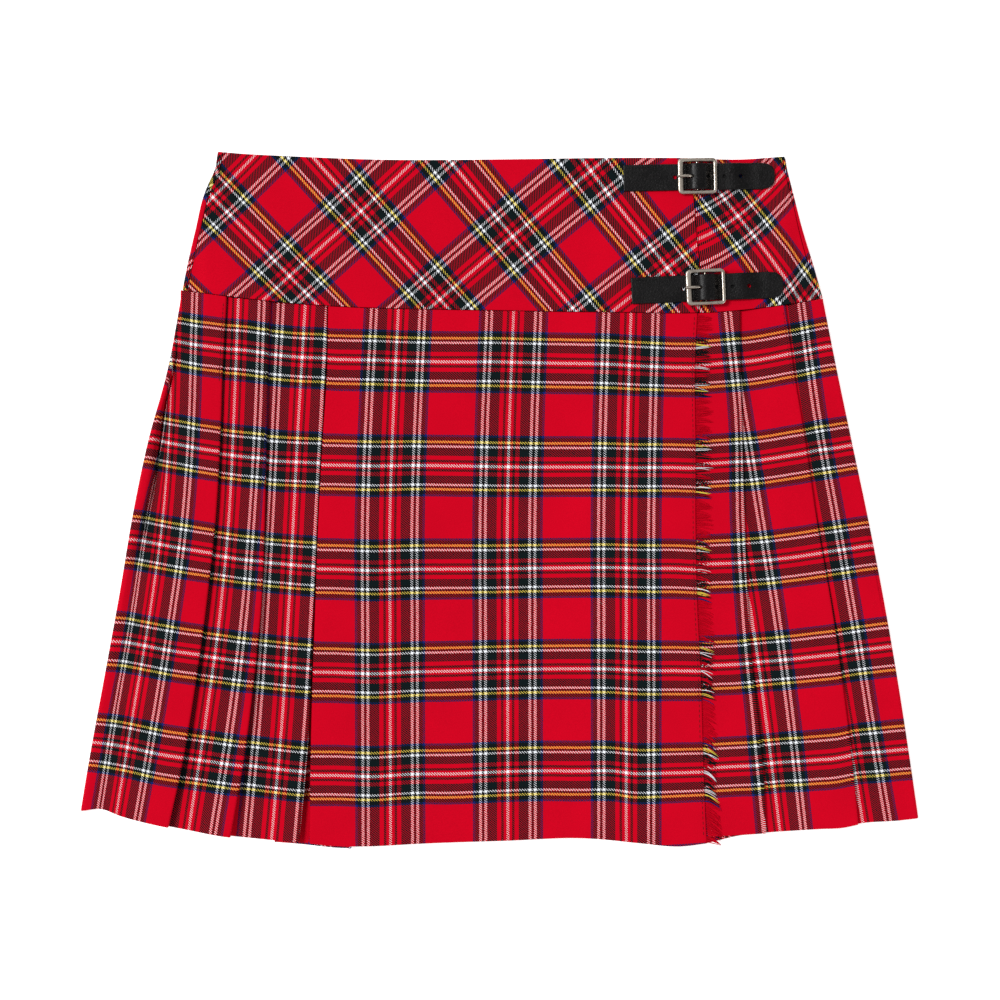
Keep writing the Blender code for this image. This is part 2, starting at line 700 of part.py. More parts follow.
def buckle(name, material):
    """A square buckle: a frame with rounded corners, and a lower bar across its middle."""
    outer = rounded_outline(FRAME_LEFT, FRAME_RIGHT, FRAME_HALF_HEIGHT, FRAME_CORNER)
    inner = rounded_outline(FRAME_LEFT + FRAME_BAR_LEFT, FRAME_RIGHT - FRAME_BAR,
                            FRAME_HALF_HEIGHT - FRAME_BAR, FRAME_CORNER - FRAME_BAR / 2)
    count = len(outer)
    verts = []
    for outline in (outer, inner):
        for z in (FRAME_FLOOR, FRAME_FLOOR + FRAME_THICK):
            verts.extend((x, y, z) for x, y in outline)
    faces = []
    for index in range(count):
        turn = (index + 1) % count
        for low, high in ((0, 1), (1, 3), (3, 2), (2, 0)):
            faces.append((low * count + index, low * count + turn,
                          high * count + turn, high * count + index))
    piece = mesh_object(name, verts, faces, material)
    bevel = piece.modifiers.new("rounded bars", "BEVEL")
    bevel.width = FRAME_BEVEL * MM
    bevel.segments = FRAME_BEVEL_STEPS
    bevel.limit_method = "ANGLE"
    bevel.angle_limit = math.radians(FRAME_BEVEL_ANGLE)

    reach = FRAME_HALF_HEIGHT - FRAME_BAR / 2
    ring = []
    for side in range(BAR_SIDES):
        angle = 2 * math.pi * (side + 0.5) / BAR_SIDES
        ring.append((BAR_RADIUS * math.cos(angle), BAR_HEIGHT + BAR_RADIUS * math.sin(angle)))
    verts = [(x, -reach, z) for x, z in ring] + [(x, reach, z) for x, z in ring]
    _, faces = prism(ring, 0.0, 1.0)
    cut(piece, cutter(f"{name}_centre_bar", verts, faces), "UNION")
    return piece


def tab(name, material):
    """The leather tab that holds the buckle: a leaf on the under-yoke, bent round the bar."""
    radius = BAR_RADIUS + TAB_AIR + TAB_THICK / 2
    line = list(TAB_LEAF)
    for step in range(TAB_WRAP_STEPS + 1):
        angle = math.radians(270 - 30 * step)
        line.append((radius * math.cos(angle), BAR_HEIGHT + radius * math.sin(angle)))
    line.append(TAB_END)
    sections = [[(u, side * TAB_HALF_WIDTH, w) for u, w in line] for side in (-1, 1)]
    piece = wall(name, sections, TAB_THICK, material)
    half = TAB_SLOT / 2
    near, far = TAB_SLOT_ENDS
    outline = ((near, -half), (far, -half), (far, half), (near, half))
    cut(piece, cutter(f"{name}_slot", *prism(outline, *TAB_SLOT_CUT)), "DIFFERENCE")
    return piece


def prong(name, material):
    """The prong: a pin hooked round the centre bar, whose tip rests on the left bar."""
    radius = BAR_RADIUS + TAB_AIR + PRONG_RADIUS
    line = []
    for step in range(HOOK_STEPS + 1):
        angle = math.radians(HOOK_START + HOOK_STEP * step)
        line.append((radius * math.cos(angle), BAR_HEIGHT + radius * math.sin(angle)))
    line.extend(PRONG_SHAFT)
    curve = bpy.data.curves.new(name, "CURVE")
    curve.dimensions = "3D"
    curve.bevel_depth = PRONG_RADIUS * MM
    curve.bevel_resolution = PRONG_SIDES_LEVEL
    curve.use_fill_caps = True
    spline = curve.splines.new("POLY")
    spline.points.add(len(line) - 1)
    for point, (u, w) in zip(spline.points, line):
        point.co = (u * MM, 0.0, w * MM, 1.0)
    curve.materials.append(material)
    piece = bpy.data.objects.new(name, curve)
    bpy.context.scene.collection.objects.link(piece)
    return piece


def fastening(name, x, y, tilt, layer, leather, metal):
    """One strap with its buckle, prong and tab, set down on the yokes."""
    face = height(layer) + CLOTH / 2
    place = Matrix.Translation(Vector((x, y, face)) * MM) @ Matrix.Rotation(math.radians(tilt), 4, "Z")
    for piece in (strap(f"strap_{name}", leather), buckle(f"buckle_{name}", metal),
                  tab(f"tab_{name}", leather), prong(f"prong_{name}", metal)):
        piece.matrix_world = place
        for modifier in piece.modifiers:
            if modifier.type == "BOOLEAN":
                modifier.object.matrix_world = place


def build():
    clear_scene()
    finish("cutting_shape", NICKEL, 0.5, 0.0)
    cloth_makers = (yoke_back, yoke_under, yoke_over, skirt_back, skirt_left, apron_under,
                    apron_over, fringe)
    for maker in cloth_makers:
        maker(finish(f"wool_{maker.__name__}", TARTAN_RED, 0.85, 0.0))
    for name, x, y, tilt, layer in FASTENINGS:
        leather = finish(f"leather_{name}", LEATHER_BLACK, 0.45, 0.0)
        metal = finish(f"nickel_{name}", NICKEL, 0.3, 1.0)
        fastening(name, x, y, tilt, layer, leather, metal)


build()
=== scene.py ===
"""Looks of a tartan mini kilt laid flat, front up: cloth, fringe, sewing, straps and buckles.

The kilt lies in the XY plane with its waist towards +Y, on a floor at z = 0. Sizes and places
are in millimetres, and MM turns them into Blender's metres when a mesh is made. Each pleated
piece is worked out as a row of sections from the hip seam to the hem. A section is the line of
the cloth seen from the hem, and it also says where the tartan's threads run.
"""
import math
import random

import bpy
import numpy as np
from mathutils import Matrix, Vector


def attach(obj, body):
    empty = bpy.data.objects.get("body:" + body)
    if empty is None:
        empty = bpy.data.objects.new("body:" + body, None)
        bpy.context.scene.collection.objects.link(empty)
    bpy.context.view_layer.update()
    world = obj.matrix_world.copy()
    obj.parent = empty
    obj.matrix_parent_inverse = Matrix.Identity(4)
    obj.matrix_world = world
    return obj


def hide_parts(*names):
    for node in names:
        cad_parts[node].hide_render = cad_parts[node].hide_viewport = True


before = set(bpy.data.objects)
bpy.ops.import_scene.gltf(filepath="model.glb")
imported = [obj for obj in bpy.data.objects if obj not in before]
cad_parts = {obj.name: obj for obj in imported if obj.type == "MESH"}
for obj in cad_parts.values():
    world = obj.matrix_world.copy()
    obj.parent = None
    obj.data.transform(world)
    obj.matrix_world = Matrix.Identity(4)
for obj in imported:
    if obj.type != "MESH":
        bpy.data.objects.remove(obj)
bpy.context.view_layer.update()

bl_info = {
    "name": "Tartan mini kilt",
    "version": (1, 0, 0),
    "blender": (4, 5, 0),
    "location": "View3D > Sidebar > Kilt",
    "description": "A tartan mini kilt with pleats, a frayed apron edge and two buckled straps",
    "category": "Object",
}

MM = 0.001

# Layers of cloth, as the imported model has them
PACKED_CLOTH = 1.1       # thickness of a layer
LAYER = 1.6              # from one layer's middle to the next one's
SEAM_GAP = 0.3
PLEAT_SHARE = 0.42       # depth of a pleat's fold, as a share of what shows of the pleat
FOLD_CLEARANCE = 1.0
BACK_TURN = 30.0         # how far the side pieces go on under the kilt
BACK_PLEATS = 13
BACK_FOLD_SHARE = 0.45   # where each back pleat's fold is, as a share of the pleat
INVERTED_LAP = 14.0      # from the first left fold to the inverted pleat's hidden seam
INVERTED_EASE = 2.0      # how much less deep the pleat beside the inverted pleat is folded
FOLD_START = 2.0         # from a fold's edge to where its cloth begins to turn
LIFT_SPAN = 1.5          # share of a pleat's depth over which the lift of its fold fades
DROP_START = 0.85        # share of a pleat's depth where its panel starts down to the next one
UNDERLAY_DROP = 1.6      # how far the inverted pleat's hidden cloth reaches below the hem
UNDER_EDGE = -95.0       # hidden left edge of the under-apron and its yoke
SIDE_STRIP_LEFT = 3.6    # widths of the back yoke's strips that show at the sides
SIDE_STRIP_RIGHT = 1.8
SIDE_STRIP_FLAT = 0.2
RISE_START = 0.25        # shares of the way down, between which a front yoke climbs
RISE_END = 0.70
SIDE_CROWN = 0.8         # rise of the right side's panel between its two ends
YOKE_MIDDLE = 175.0
BACK_LAYER = 0
UNDER_WAIST_LAYER = 1
OVER_WAIST_LAYER = 2
RIM_TAPER = (0.3, 0.74, 0.97)  # share of the thickness in the three rows next to a cut edge

# Rows of sections along each piece, and the lengths that they are spread over
SKIRT_LENGTH = 345.0
ROW_COUNT = 84
BACK_ROW_COUNT = 52
YOKE_LENGTH = 98.0
YOKE_ROW_COUNT = 40

# How much larger the camera, 1.5 m above, sees the top layers of cloth than the kilt's base.
# Places of folds and threads on top are given as they are seen
SEEN = 1.0034

# The places in the tables of folds, edges, tartan lines and crossings were first measured with a
# separate program. Some of them were then rounded or changed.

# Lines of the skirt, one row for each height: where each fold or edge is across the kilt
LINE_COLUMNS = ("y", "side_left", "fold_l3", "fold_l2", "fold_l1", "apron_fold", "apron_edge",
                "fold_r1", "fold_r2", "side_right")
LINE_ROWS = (
    (129.5, -207.5, -177.5, -149, -112.1, -111.5, 129, 156.5, 185.5, 210.5),
    (84, -216, -180, -150.5, -112.9, -112.3, 127, 157, 191.5, 219.5),
    (38.5, -228, -181.5, -151.5, -115.8, -115.2, 127.5, 158, 199, 229),
    (-13.5, -239, -184.5, -152.5, -118.5, -117.9, 127.5, 159.5, 206.5, 240),
    (-65.5, -248, -190, -154.5, -120.5, -119.8, 128.5, 161.5, 215.5, 250),
    (-117.5, -257.5, -197, -159.5, -122.4, -121.7, 131, 165.5, 223, 259),
    (-169.5, -267, -205.5, -166, -125.1, -122.9, 132.5, 171, 229.5, 267),
    (-221.5, -275.5, -217, -175, -130, -123.6, 134.5, 174, 234.5, 274.5),
)
YOKE_COLUMNS = ("y", "left", "over_edge", "right")
YOKE_ROWS = (
    (226.2, -183.4, 124.5, 185.4),
    (214.2, -185.6, 125.2, 187.5),
    (201.2, -191.4, 125.8, 190.8),
    (175.2, -197.9, 127.6, 197.3),
    (149.2, -203.8, 129.2, 205.1),
    (129.7, -207.5, 128.6, 210.6),
)
# The hip seam's height along the kilt: a straight middle whose two ends bend up
SEAM_MIDDLE = 122.6
SEAM_TILT = -0.018
SEAM_LEFT_START = -70.0
SEAM_LEFT_BEND = 0.000527  # rise at a distance past the start, over the distance squared
SEAM_RIGHT_START = 105.0
SEAM_RIGHT_BEND = 0.001086
# Heights along the kilt of its top edge and its hems, one row for each place across
TOP_ROWS = ((-183.5, 226.2), (-168.7, 224.9), (-142.7, 223.5), (-116.7, 222.3), (-90.7, 221.3),
            (13.3, 221.3), (52.3, 221.9), (123.8, 222), (156.3, 221.3), (186, 223.3))
FRONT_HEM_ROWS = ((-272.7, -202.5), (-258.4, -201.2), (-246.7, -205.1), (-233.7, -208.3),
                  (-207.7, -213.5), (-181.7, -217.6), (-155.7, -220), (-131.5, -221.8),
                  (-103.7, -224.6), (-77.7, -224.6), (-51.7, -223.3), (0.3, -221.5),
                  (65.3, -220), (91.3, -222.6), (117.3, -224.6), (134.2, -222.6))
RIGHT_HEM_ROWS = ((-95, -217), (60, -216.5), (123.8, -218.7), (156.3, -217.4),
                  (182.3, -215.5), (208.3, -213.5), (221.3, -212.9), (234.3, -210.3),
                  (260.3, -208.3), (272.7, -207))
BACK_HEM_ROWS = ((-246.7, -205.1), (-233.7, -208.3), (-207.7, -213.5), (-181.7, -217.6),
                 (-130, -219), (-60, -219.5), (20, -217.5), (90, -219),
                 (118, -224.6), (132, -224.4), (150, -219.5), (182.3, -215.5),
                 (208.3, -213.5), (221.3, -212.9), (234.3, -210.3), (260.3, -208.3))
OVER_LAYER_ROWS = ((-198, 3), (-190, 5), (-85, 5), (-65, 4), (39, 4),
                   (72, 6), (130, 6))
UNDER_LAYER_ROWS = ((39, 3), (72, 5), (186.5, 5), (193, 3))

# The sett, in millimetres: half the width from the middle of a group of lines to where each
# band ends. Both directions share their colours, but the weft has a yellow line.
WARP_REPEAT = 76.9
WEFT_REPEAT = 67.1
WARP_BANDS = (("white", 0.9), ("red", 2.65), ("black", 4.35), ("red", 7), ("green", 13.5),
              ("white", 15.3), ("black", 16.9), ("white", 18.75), ("green", 21.3),
              ("blue", 22.95), ("red", 38.45))
WEFT_BANDS = (("white", 0.85), ("red", 2.05), ("black", 3.7), ("red", 6.4), ("green", 10.2),
              ("black", 11.6), ("white", 13.1), ("black", 14.5), ("yellow", 16.05),
              ("black", 18.55), ("blue", 20), ("red", 33.55))
DOUBLE = 16.15           # from a warp group's middle to the middle of its double white line
BLUE_EDGE = 22.95        # from a warp group's middle to the far edge of its blue band
YELLOW = 15.3            # from a weft group's middle to its yellow line

# Places of the tartan's upright lines across each panel, one for each height along it. Before a
# line's places stands its distance in the cloth from the middle of the panel's first group.
PANEL_HEIGHTS = (112.8, 54.9, -13.3, -79.6, -144.6, -205.1)
WARP_LINES = {
    # panel: (threads from the group's middle, places)
    "l3": ((-2 * DOUBLE, (-245, -229.1, -242.2, -253.4, -265.7, -276.4)),
           (-BLUE_EDGE, (-214.9, -218.2, -233.8, -244.2, -256.5, -267.2)),
           (-DOUBLE, (-214.3, -217.5, -229.9, -239.9, -251.4, -261)),
           (0, (-213.5, -214.9, -219.4, -228.5, -239.5, -249.5)),
           (DOUBLE, (-198.9, -200.2, -204.6, -213.5, -224.1, -234.9))),
    "l2": ((0, (-170.6, -172.8, -176.2, -182.5, -191.4, -200.7)),
           (DOUBLE, (-155.1, -157.1, -161, -166.4, -174.5, -184.1))),
    "l1": ((-DOUBLE, (-143.1, -145.9, -149.2, -153, -157.8, -163.3)),
           (0, (-127.1, -130.5, -134, -137.5, -141.4, -146.7)),
           (DOUBLE, (-111.5, -114.5, -118, -121.2, -124.9, -129.9))),
    "apron": ((0, (-66.4, -69.2, -71.4, -71.3, -71.2, -71)),
              (WARP_REPEAT, (8.8, 6.6, 5.1, 5.2, 5.3, 5.4)),
              (2 * WARP_REPEAT, (85.1, 83.4, 82.3, 82.3, 82.3, 82.3))),
    "r1": ((-DOUBLE, (149.4, 155.2, 156.5, 160.2, 166.5, 172.1)),),
    "r2": ((0, (132.9, 142.8, 154.1, 164.8, 173.7, 181.3)),
           (DOUBLE, (149, 158.9, 170.1, 180.9, 189.7, 196.6))),
    "r3": ((0, (182.5, 190.6, 203.2, 215, 226.1, 235.8)),
           (DOUBLE, (198.5, 206.7, 219.2, 231, 241.7, 252.2))),
}
# Heights of the middles of the five groups of level lines, one row for each place across
RIGHT_WEFT_ROWS = (
    (144.6, 88.5, 23.9, -41.6, -107.6, -174.0),
    (155.0, 89.3, 24.6, -41.2, -107.1, -173.4),
    (165.4, 90.4, 25.1, -40.3, -106.1, -172.9),
    (175.8, 92.1, 26.5, -39.4, -105.2, -171.9),
    (186.2, 94.2, 28.2, -38.1, -104.2, -170.8),
    (196.6, 96.1, 29.9, -36.7, -103.1, -170.2),
    (207.0, 98.4, 32.0, -35.1, -101.9, -169.3),
    (217.4, 100.4, 33.4, -33.5, -100.8, -168.4),
    (233.0, 103.0, 36.1, -31.2, -98.3, -165.6),
    (248.6, 106.0, 38.7, -28.9, -96.4, -164.2),
    (264.2, 108.9, 41.3, -26.7, -94.6, -162.8),
)
WEFT_ROWS = {
    "l3": (
        (-258.4, 110.2, 45.2, -22.4, -92.0, -158.9),
        (-244.1, 108.2, 42.6, -25.0, -93.0, -160.9),
        (-228.5, 106.3, 40.1, -27.8, -95.6, -163.9),
        (-218.1, 104.7, 37.4, -29.7, -97.4, -165.8),
        (-207.7, 102.6, 35.5, -31.5, -99.0, -167.3),
        (-197.3, 100.6, 33.5, -33.2, -100.4, -168.7),
        (-186.9, 99.2, 31.9, -34.9, -101.7, -170.0),
    ),
    "l2": (
        (-201.2, 99.8, 31.9, -34.5, -101.0, -168.9),
        (-181.7, 98.5, 29.8, -36.9, -103.4, -171.2),
        (-168.7, 97.5, 28.1, -38.8, -105.0, -172.6),
        (-154.4, 95.5, 26.8, -40.2, -106.5, -173.7),
    ),
    "l1": (
        (-158.3, 95.7, 26.2, -40.6, -106.7, -173.8),
        (-145.3, 94.2, 25.0, -41.6, -107.9, -175.1),
        (-132.3, 92.8, 24.4, -42.7, -109.1, -176.3),
        (-115.4, 92.0, 23.7, -43.8, -110.4, -177.5),
    ),
    "apron": (
        (-121.9, 92.0, 22.5, -45.1, -112.1, -179.1),
        (-107.6, 91.2, 22.4, -45.3, -112.3, -179.2),
        (-81.6, 90.7, 21.8, -46.1, -113.3, -180.1),
        (-55.6, 89.9, 22.2, -45.4, -112.2, -178.7),
        (-29.6, 89.6, 21.9, -45.3, -111.6, -178.5),
        (-3.6, 89.6, 21.4, -45.2, -110.8, -177.4),
        (22.4, 89.0, 21.1, -44.7, -110.4, -176.6),
        (48.4, 88.5, 21.1, -44.4, -110.1, -176.6),
        (74.4, 87.7, 21.0, -44.2, -110.2, -176.4),
        (87.4, 86.9, 20.7, -44.6, -110.9, -177.9),
        (100.4, 86.3, 20.8, -44.8, -111.2, -177.9),
        (113.4, 85.8, 20.7, -44.8, -111.2, -177.5),
        (126.4, 85.7, 20.3, -45.5, -111.4, -177.1),
    ),
    "r1": RIGHT_WEFT_ROWS,
    "r2": RIGHT_WEFT_ROWS,
    "r3": RIGHT_WEFT_ROWS,
}
BACK_LAST_GROUP = 43.0   # from the back hem up to the middle of the last group of level lines
BACK_YOKE_CORNER = (194.7, 23.0, 20.0)  # at its left seam: a height, and the threads there

# The yokes are cut on the bias. Crossings of their lines: x and y, then the warp group and the
# line beside its middle (-1, 0 or 1), then the same for the weft
OVER_CROSSINGS = (
    (-187.6, 197.3, 0, 0, 0, 0), (-176.3, 186.4, 0, 1, 0, 0), (-176.3, 207.9, 0, 0, 0, -1),
    (-165.7, 196.3, 0, 1, 0, -1), (-187.6, 176.9, 0, 1, 0, 1), (-136.5, 144.8, 1, 0, 0, 0),
    (-147.0, 156.8, 1, -1, 0, 0), (-136.0, 165.3, 1, -1, 0, -1), (-125.6, 154.0, 1, 0, 0, -1),
    (-116.0, 143.4, 1, 1, 0, -1), (-158.0, 146.6, 1, -1, 0, 1), (-146.4, 135.3, 1, 0, 0, 1),
    (-140.2, 219.8, 0, 1, 1, 1), (-90.5, 188.4, 1, 0, 1, 0), (-101.1, 200.8, 1, -1, 1, 0),
    (-79.9, 176.6, 1, 1, 1, 0), (-50.0, 142.3, 2, -1, 1, 0), (-38.8, 130.9, 2, 0, 1, 0),
    (-79.6, 197.9, 1, 0, 1, -1), (-90.4, 210.6, 1, -1, 1, -1), (-69.0, 186.0, 1, 1, 1, -1),
    (-39.4, 151.6, 2, -1, 1, -1), (-28.6, 139.5, 2, 0, 1, -1), (-111.2, 189.5, 1, -1, 1, 1),
    (-101.3, 178.3, 1, 0, 1, 1), (-90.5, 166.7, 1, 1, 1, 1), (-60.3, 134.1, 2, -1, 1, 1),
    (-43.5, 210.6, 1, 1, 2, 1), (8.5, 170.5, 2, 0, 2, 0), (-2.5, 184.0, 2, -1, 2, 0),
    (19.2, 158.1, 2, 1, 2, 0), (48.8, 123.8, 3, -1, 2, 0), (8.8, 194.5, 2, -1, 2, -1),
    (19.6, 180.6, 2, 0, 2, -1), (30.7, 168.2, 2, 1, 2, -1), (59.7, 132.6, 3, -1, 2, -1),
    (-13.3, 174.0, 2, -1, 2, 1), (-2.1, 160.7, 2, 0, 2, 1), (8.5, 148.3, 2, 1, 2, 1),
    (59.4, 214.1, 2, 0, 3, 0), (70.5, 200.6, 2, 1, 3, 0), (36.5, 217.8, 2, -1, 3, 1),
    (47.8, 204.8, 2, 0, 3, 1), (58.6, 191.6, 2, 1, 3, 1), (87.0, 153.5, 3, -1, 3, 1),
    (109.0, 150.5, 3, 0, 3, 0), (98.9, 162.4, 3, -1, 3, 0), (110.5, 173.2, 3, -1, 3, -1),
    (120.7, 160.7, 3, 0, 3, -1),
)
UNDER_CROSSINGS = (
    (154.6, 186, 0, 0, 0, 0), (165.2, 172.2, 0, 1, 0, 0), (146.2, 196.7, 0, -1, 0, 0),
    (165.9, 194.4, 0, 0, 0, -1), (176.3, 180.7, 0, 1, 0, -1), (198.9, 150.4, 1, -1, 0, -1),
    (134, 189.7, 0, -1, 0, 1), (143.5, 176.6, 0, 0, 0, 1), (152.7, 163.9, 0, 1, 0, 1),
    (190.1, 137.9, 1, -1, 0, 0),
)

# How far each fold edge's cloth lifts off the pleat below it, one row for each height
LIFT_COLUMNS = ("y", "l1", "l2", "l3", "r1", "r2", "apron")
LIFT_ROWS = (
    (125, 0, 0, 0, 0, 0, 0),
    (60, 0.3, 0.5, 0.8, 0.2, 0.1, 0.1),
    (0, 0.6, 1.1, 1.6, 0.4, 0.3, 0.4),
    (-80, 1.1, 1.8, 2.4, 0.4, 0.4, 0.8),
    (-150, 2.2, 3.2, 3.2, 0.4, 0.5, 1.9),
    (-222, 3.4, 4.8, 3.6, 0.5, 0.6, 2.2),
)
# The valley down the left pleat, beside the kilt's edge, with a bank on its far side
VALLEY_ROWS = (
    # y, place, depth, half width, bank
    (120, -207, 0, 1.6, 0),
    (97, -209.5, 0.6, 1.3, 0.1),
    (84, -212, 3.2, 1.2, 0.8),
    (62, -216.2, 6.2, 1.6, 3.8),
    (30, -220.6, 7.2, 2, 5.6),
    (9, -223.2, 7, 2.4, 5.2),
    (-13, -227.4, 6, 2.9, 4.2),
    (-45, -234.4, 3.8, 3.6, 1.3),
    (-90, -241.5, 2.4, 4.4, 0.8),
    (-140, -249, 1.9, 5.5, 0.5),
    (-221, -261.6, 1.6, 7, 0.4),
)
VALLEY_LEAST = 4.2       # least distance of the valley from the kilt's edge
VALLEY_FLOOR = 0.6       # how much higher than a pleat's foot the panel ends beside it
SIDE_ROUND = 0.45        # the edge's half-round, as a share of the distance to the valley
SIDE_ROUND_LIMITS = (1.3, 2.7)
CREASE_FADE = 0.3        # share of a crease's length over which each end fades
CREASE_WANDER = 0.35     # how far a crease wanders, in its half widths
# Soft creases pressed into the cloth: x and y of each one's top and low end, its half width and
# how far it rises, or sinks where that is negative
APRON_CREASES = (
    (-88, 60, -84, -150, 16, 0.25), (-40, 110, -46, -60, 20, -0.22),
    (-12, 10, -20, -215, 14, 0.3), (24, 95, 30, -110, 18, -0.25),
    (48, -30, 46, -226, 12, 0.35), (66, -95, 72, -226, 8, -0.55),
    (88, -70, 92, -226, 9, 0.6), (108, 20, 106, -180, 8, -0.35),
    (60, 118, 96, 70, 10, 0.3), (-100, 118, -70, 96, 9, 0.2),
)
LEFT_CREASES = (
    (-196, 60, -216, -150, 5, 0.5), (-190, 100, -204, 10, 4, -0.35),
    (-160, 90, -163, -30, 5, -0.3), (-170, -60, -182, -215, 4.5, 0.35),
    (-136, 80, -141, -90, 6, -0.35), (-142, -90, -150, -215, 6, 0.3),
    (-226, -80, -236, -205, 7, -0.4),
)
RIGHT_CREASES = (
    (142, 80, 144, -80, 5, -0.3), (148, -60, 156, -215, 6, 0.35),
    (176, 60, 186, -90, 5, 0.35), (192, -70, 204, -212, 6.5, -0.4),
    (204, 100, 222, -10, 5, 0.3), (232, 0, 248, -150, 6, 0.45),
    (243, -90, 262, -208, 5, -0.35),
)
BACK_CREASES = (
    (-170, 100, -190, -120, 12, 0.3), (-96, 90, -104, -200, 16, 0.25),
    (-30, 110, -26, -80, 14, 0.3), (44, 60, 50, -210, 15, 0.28),
    (110, 100, 124, -150, 13, 0.3), (178, 70, 200, -180, 12, 0.26),
)
YOKE_CREASES = (
    (-150, 215, -158, 135, 16, 0.25), (-80, 205, -74, 128, 14, -0.22),
    (-20, 215, -32, 150, 18, 0.2), (45, 190, 52, 128, 12, 0.25),
    (88, 200, 96, 140, 10, -0.3), (160, 190, 170, 130, 9, 0.25),
)
# Fringe on the over-apron's right edge
FRINGE_START = 119.5
YARN_GAP = 0.08          # from the cloth's cut edge to the start of a yarn
FRINGE_ROWS = (
    # y, reach, droop
    (121, 9.6, 0.6),
    (60, 10.6, 0.4),
    (0, 10.6, 1),
    (-90, 9.6, 2.4),
    (-150, 9.2, 4.2),
    (-195, 10.2, 5.6),
    (-208, 11.6, 6.6),
    (-223, 9.6, 3),
)

# Straps and buckles, in a frame of their own: u along the strap from the buckle's centre bar,
# v across it, w up from the face of the over-yoke
FASTENINGS = (
    # name, centre x, centre y, tilt in degrees, layer of the over-yoke there
    ("upper", 128.3, 209.8, 1.1, 2),
    ("lower", 133.1, 137.3, 2.6, 6),
)
STRAP_SHIFT = -0.3
PACKED_STRAP = 1.6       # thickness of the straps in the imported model


def bend(start, floor, end, new_floor):
    """Rows of the strap between two places, where it slopes softly from floor to floor."""
    steps = [step / 5 for step in range(1, 5)]
    return [(round(start + (end - start) * share, 2), 8.4,
             round(floor + (new_floor - floor) * (1 - math.cos(math.pi * share)) / 2, 2))
            for share in steps]


STRAP_ROWS = (
    # u, half width, floor
    (-47.9, 8.5, 0.3), (-30, 8.6, 0.3), (-12, 8.5, 0.3), (-8.9, 8.4, 0.3),
    *bend(-8.9, 0.3, -2, 5), (-2, 8.4, 5), (2, 8.4, 5), *bend(2, 5, 10, 0.3), (10, 8.5, 0.3),
    (16, 8.6, 0.1), (26.5, 8.6, 0.1), (32, 8.6, -1.3), (42, 8.5, -1.3), (45.5, 8, -1.3),
    (48, 6.8, -1.3), (49.8, 4.9, -1.3), (50.6, 2.6, -1.3),
)
HOLE_PLACES = (-14.6, -4.2, 7.2, 17.6, 28.3)
PRONG_HOLE = 1           # the hole that the prong goes through, which it has stretched
PRONG_HOLE_STRETCH = 1.55
BAR_RADIUS = 0.8         # of the buckle's centre bar
BAR_HEIGHT = 2.4
PRONG_RADIUS = 0.6
PRONG_AIR = 0.3          # between the prong's hook and the bar
PRONG_FLATNESS = 1.5     # the wire is this much wider than it is thick
FRAME_LIFT = 2.2         # from the over-yoke's face to the underside of the buckle's frame
STITCH_SQUARE = (-46.4, -30.4, 6.6)  # the near and far ends of the straps' sewing, half its width
STRAP_THREAD = 0.2       # radii of the two sewing threads
SEAM_THREAD = 0.17
HOOK_START = 205.0
HOOK_STEP = 25.0
HOOK_STEPS = 9
PRONG_SHAFT = ((-1.8, 4.1), (-3.2, 4.65), (-4.6, 5.35), (-6.2, 5.8), (-9.0, 5.75), (-13.0, 5.5))

LAID = {}                # surfaces of the cloth pieces that are made, for the sewing to lie on


def millimetres(name, what, value, low=0.0):
    """A length that a user may change, kept in metres."""
    return bpy.props.FloatProperty(name=name, description=what, default=value * MM, min=low * MM,
                                   unit="LENGTH", precision=5)


def colour(name, what, code):
    """A colour that a user may change, given as a hex code."""
    return bpy.props.FloatVectorProperty(name=name, description=what, default=linear(code),
                                         subtype="COLOR", size=3, min=0.0, max=1.0)


def linear(code):
    """A hex colour as red, green and blue in linear light."""
    channels = [int(code[start:start + 2], 16) / 255 for start in (1, 3, 5)]
    return tuple(c / 12.92 if c <= 0.04045 else ((c + 0.055) / 1.055) ** 2.4 for c in channels)


class KiltCloth(bpy.types.PropertyGroup):
    thickness: millimetres("Cloth thickness", "Thickness of the wool cloth", 1.0, 0.3)
    warp_thread: millimetres("Warp spacing", "From one warp thread to the next", 0.438, 0.2)
    weft_thread: millimetres("Weft spacing", "From one weft thread to the next", 0.362, 0.2)
    warp_shows: bpy.props.FloatProperty(name="Warp shows", default=0.22, min=0.0, max=0.5,
                                        description="Share of the cloth that lit warp covers")
    weft_shows: bpy.props.FloatProperty(name="Weft shows", default=0.265, min=0.0, max=0.5,
                                        description="Share of the cloth that lit weft covers")
    red: colour("Red", "Ground of the tartan", "#C9001E")
    black: colour("Black", "Narrow lines, and round the white ones", "#151415")
    green: colour("Bottle green", "Broad dark bands", "#0D181A")
    blue: colour("Blue", "Edges of the dark bands", "#15236A")
    white: colour("White", "Fine light lines", "#F1F5FA")
    yellow: colour("Yellow", "Fine lines of the weft", "#F0D754")


class KiltFringe(bpy.types.PropertyGroup):
    strands: bpy.props.IntProperty(name="Yarns", description="Loose yarns along the edge",
                                   default=430, min=60)
    yarn: millimetres("Yarn thickness", "Thickness of a loose yarn", 0.5, 0.1)


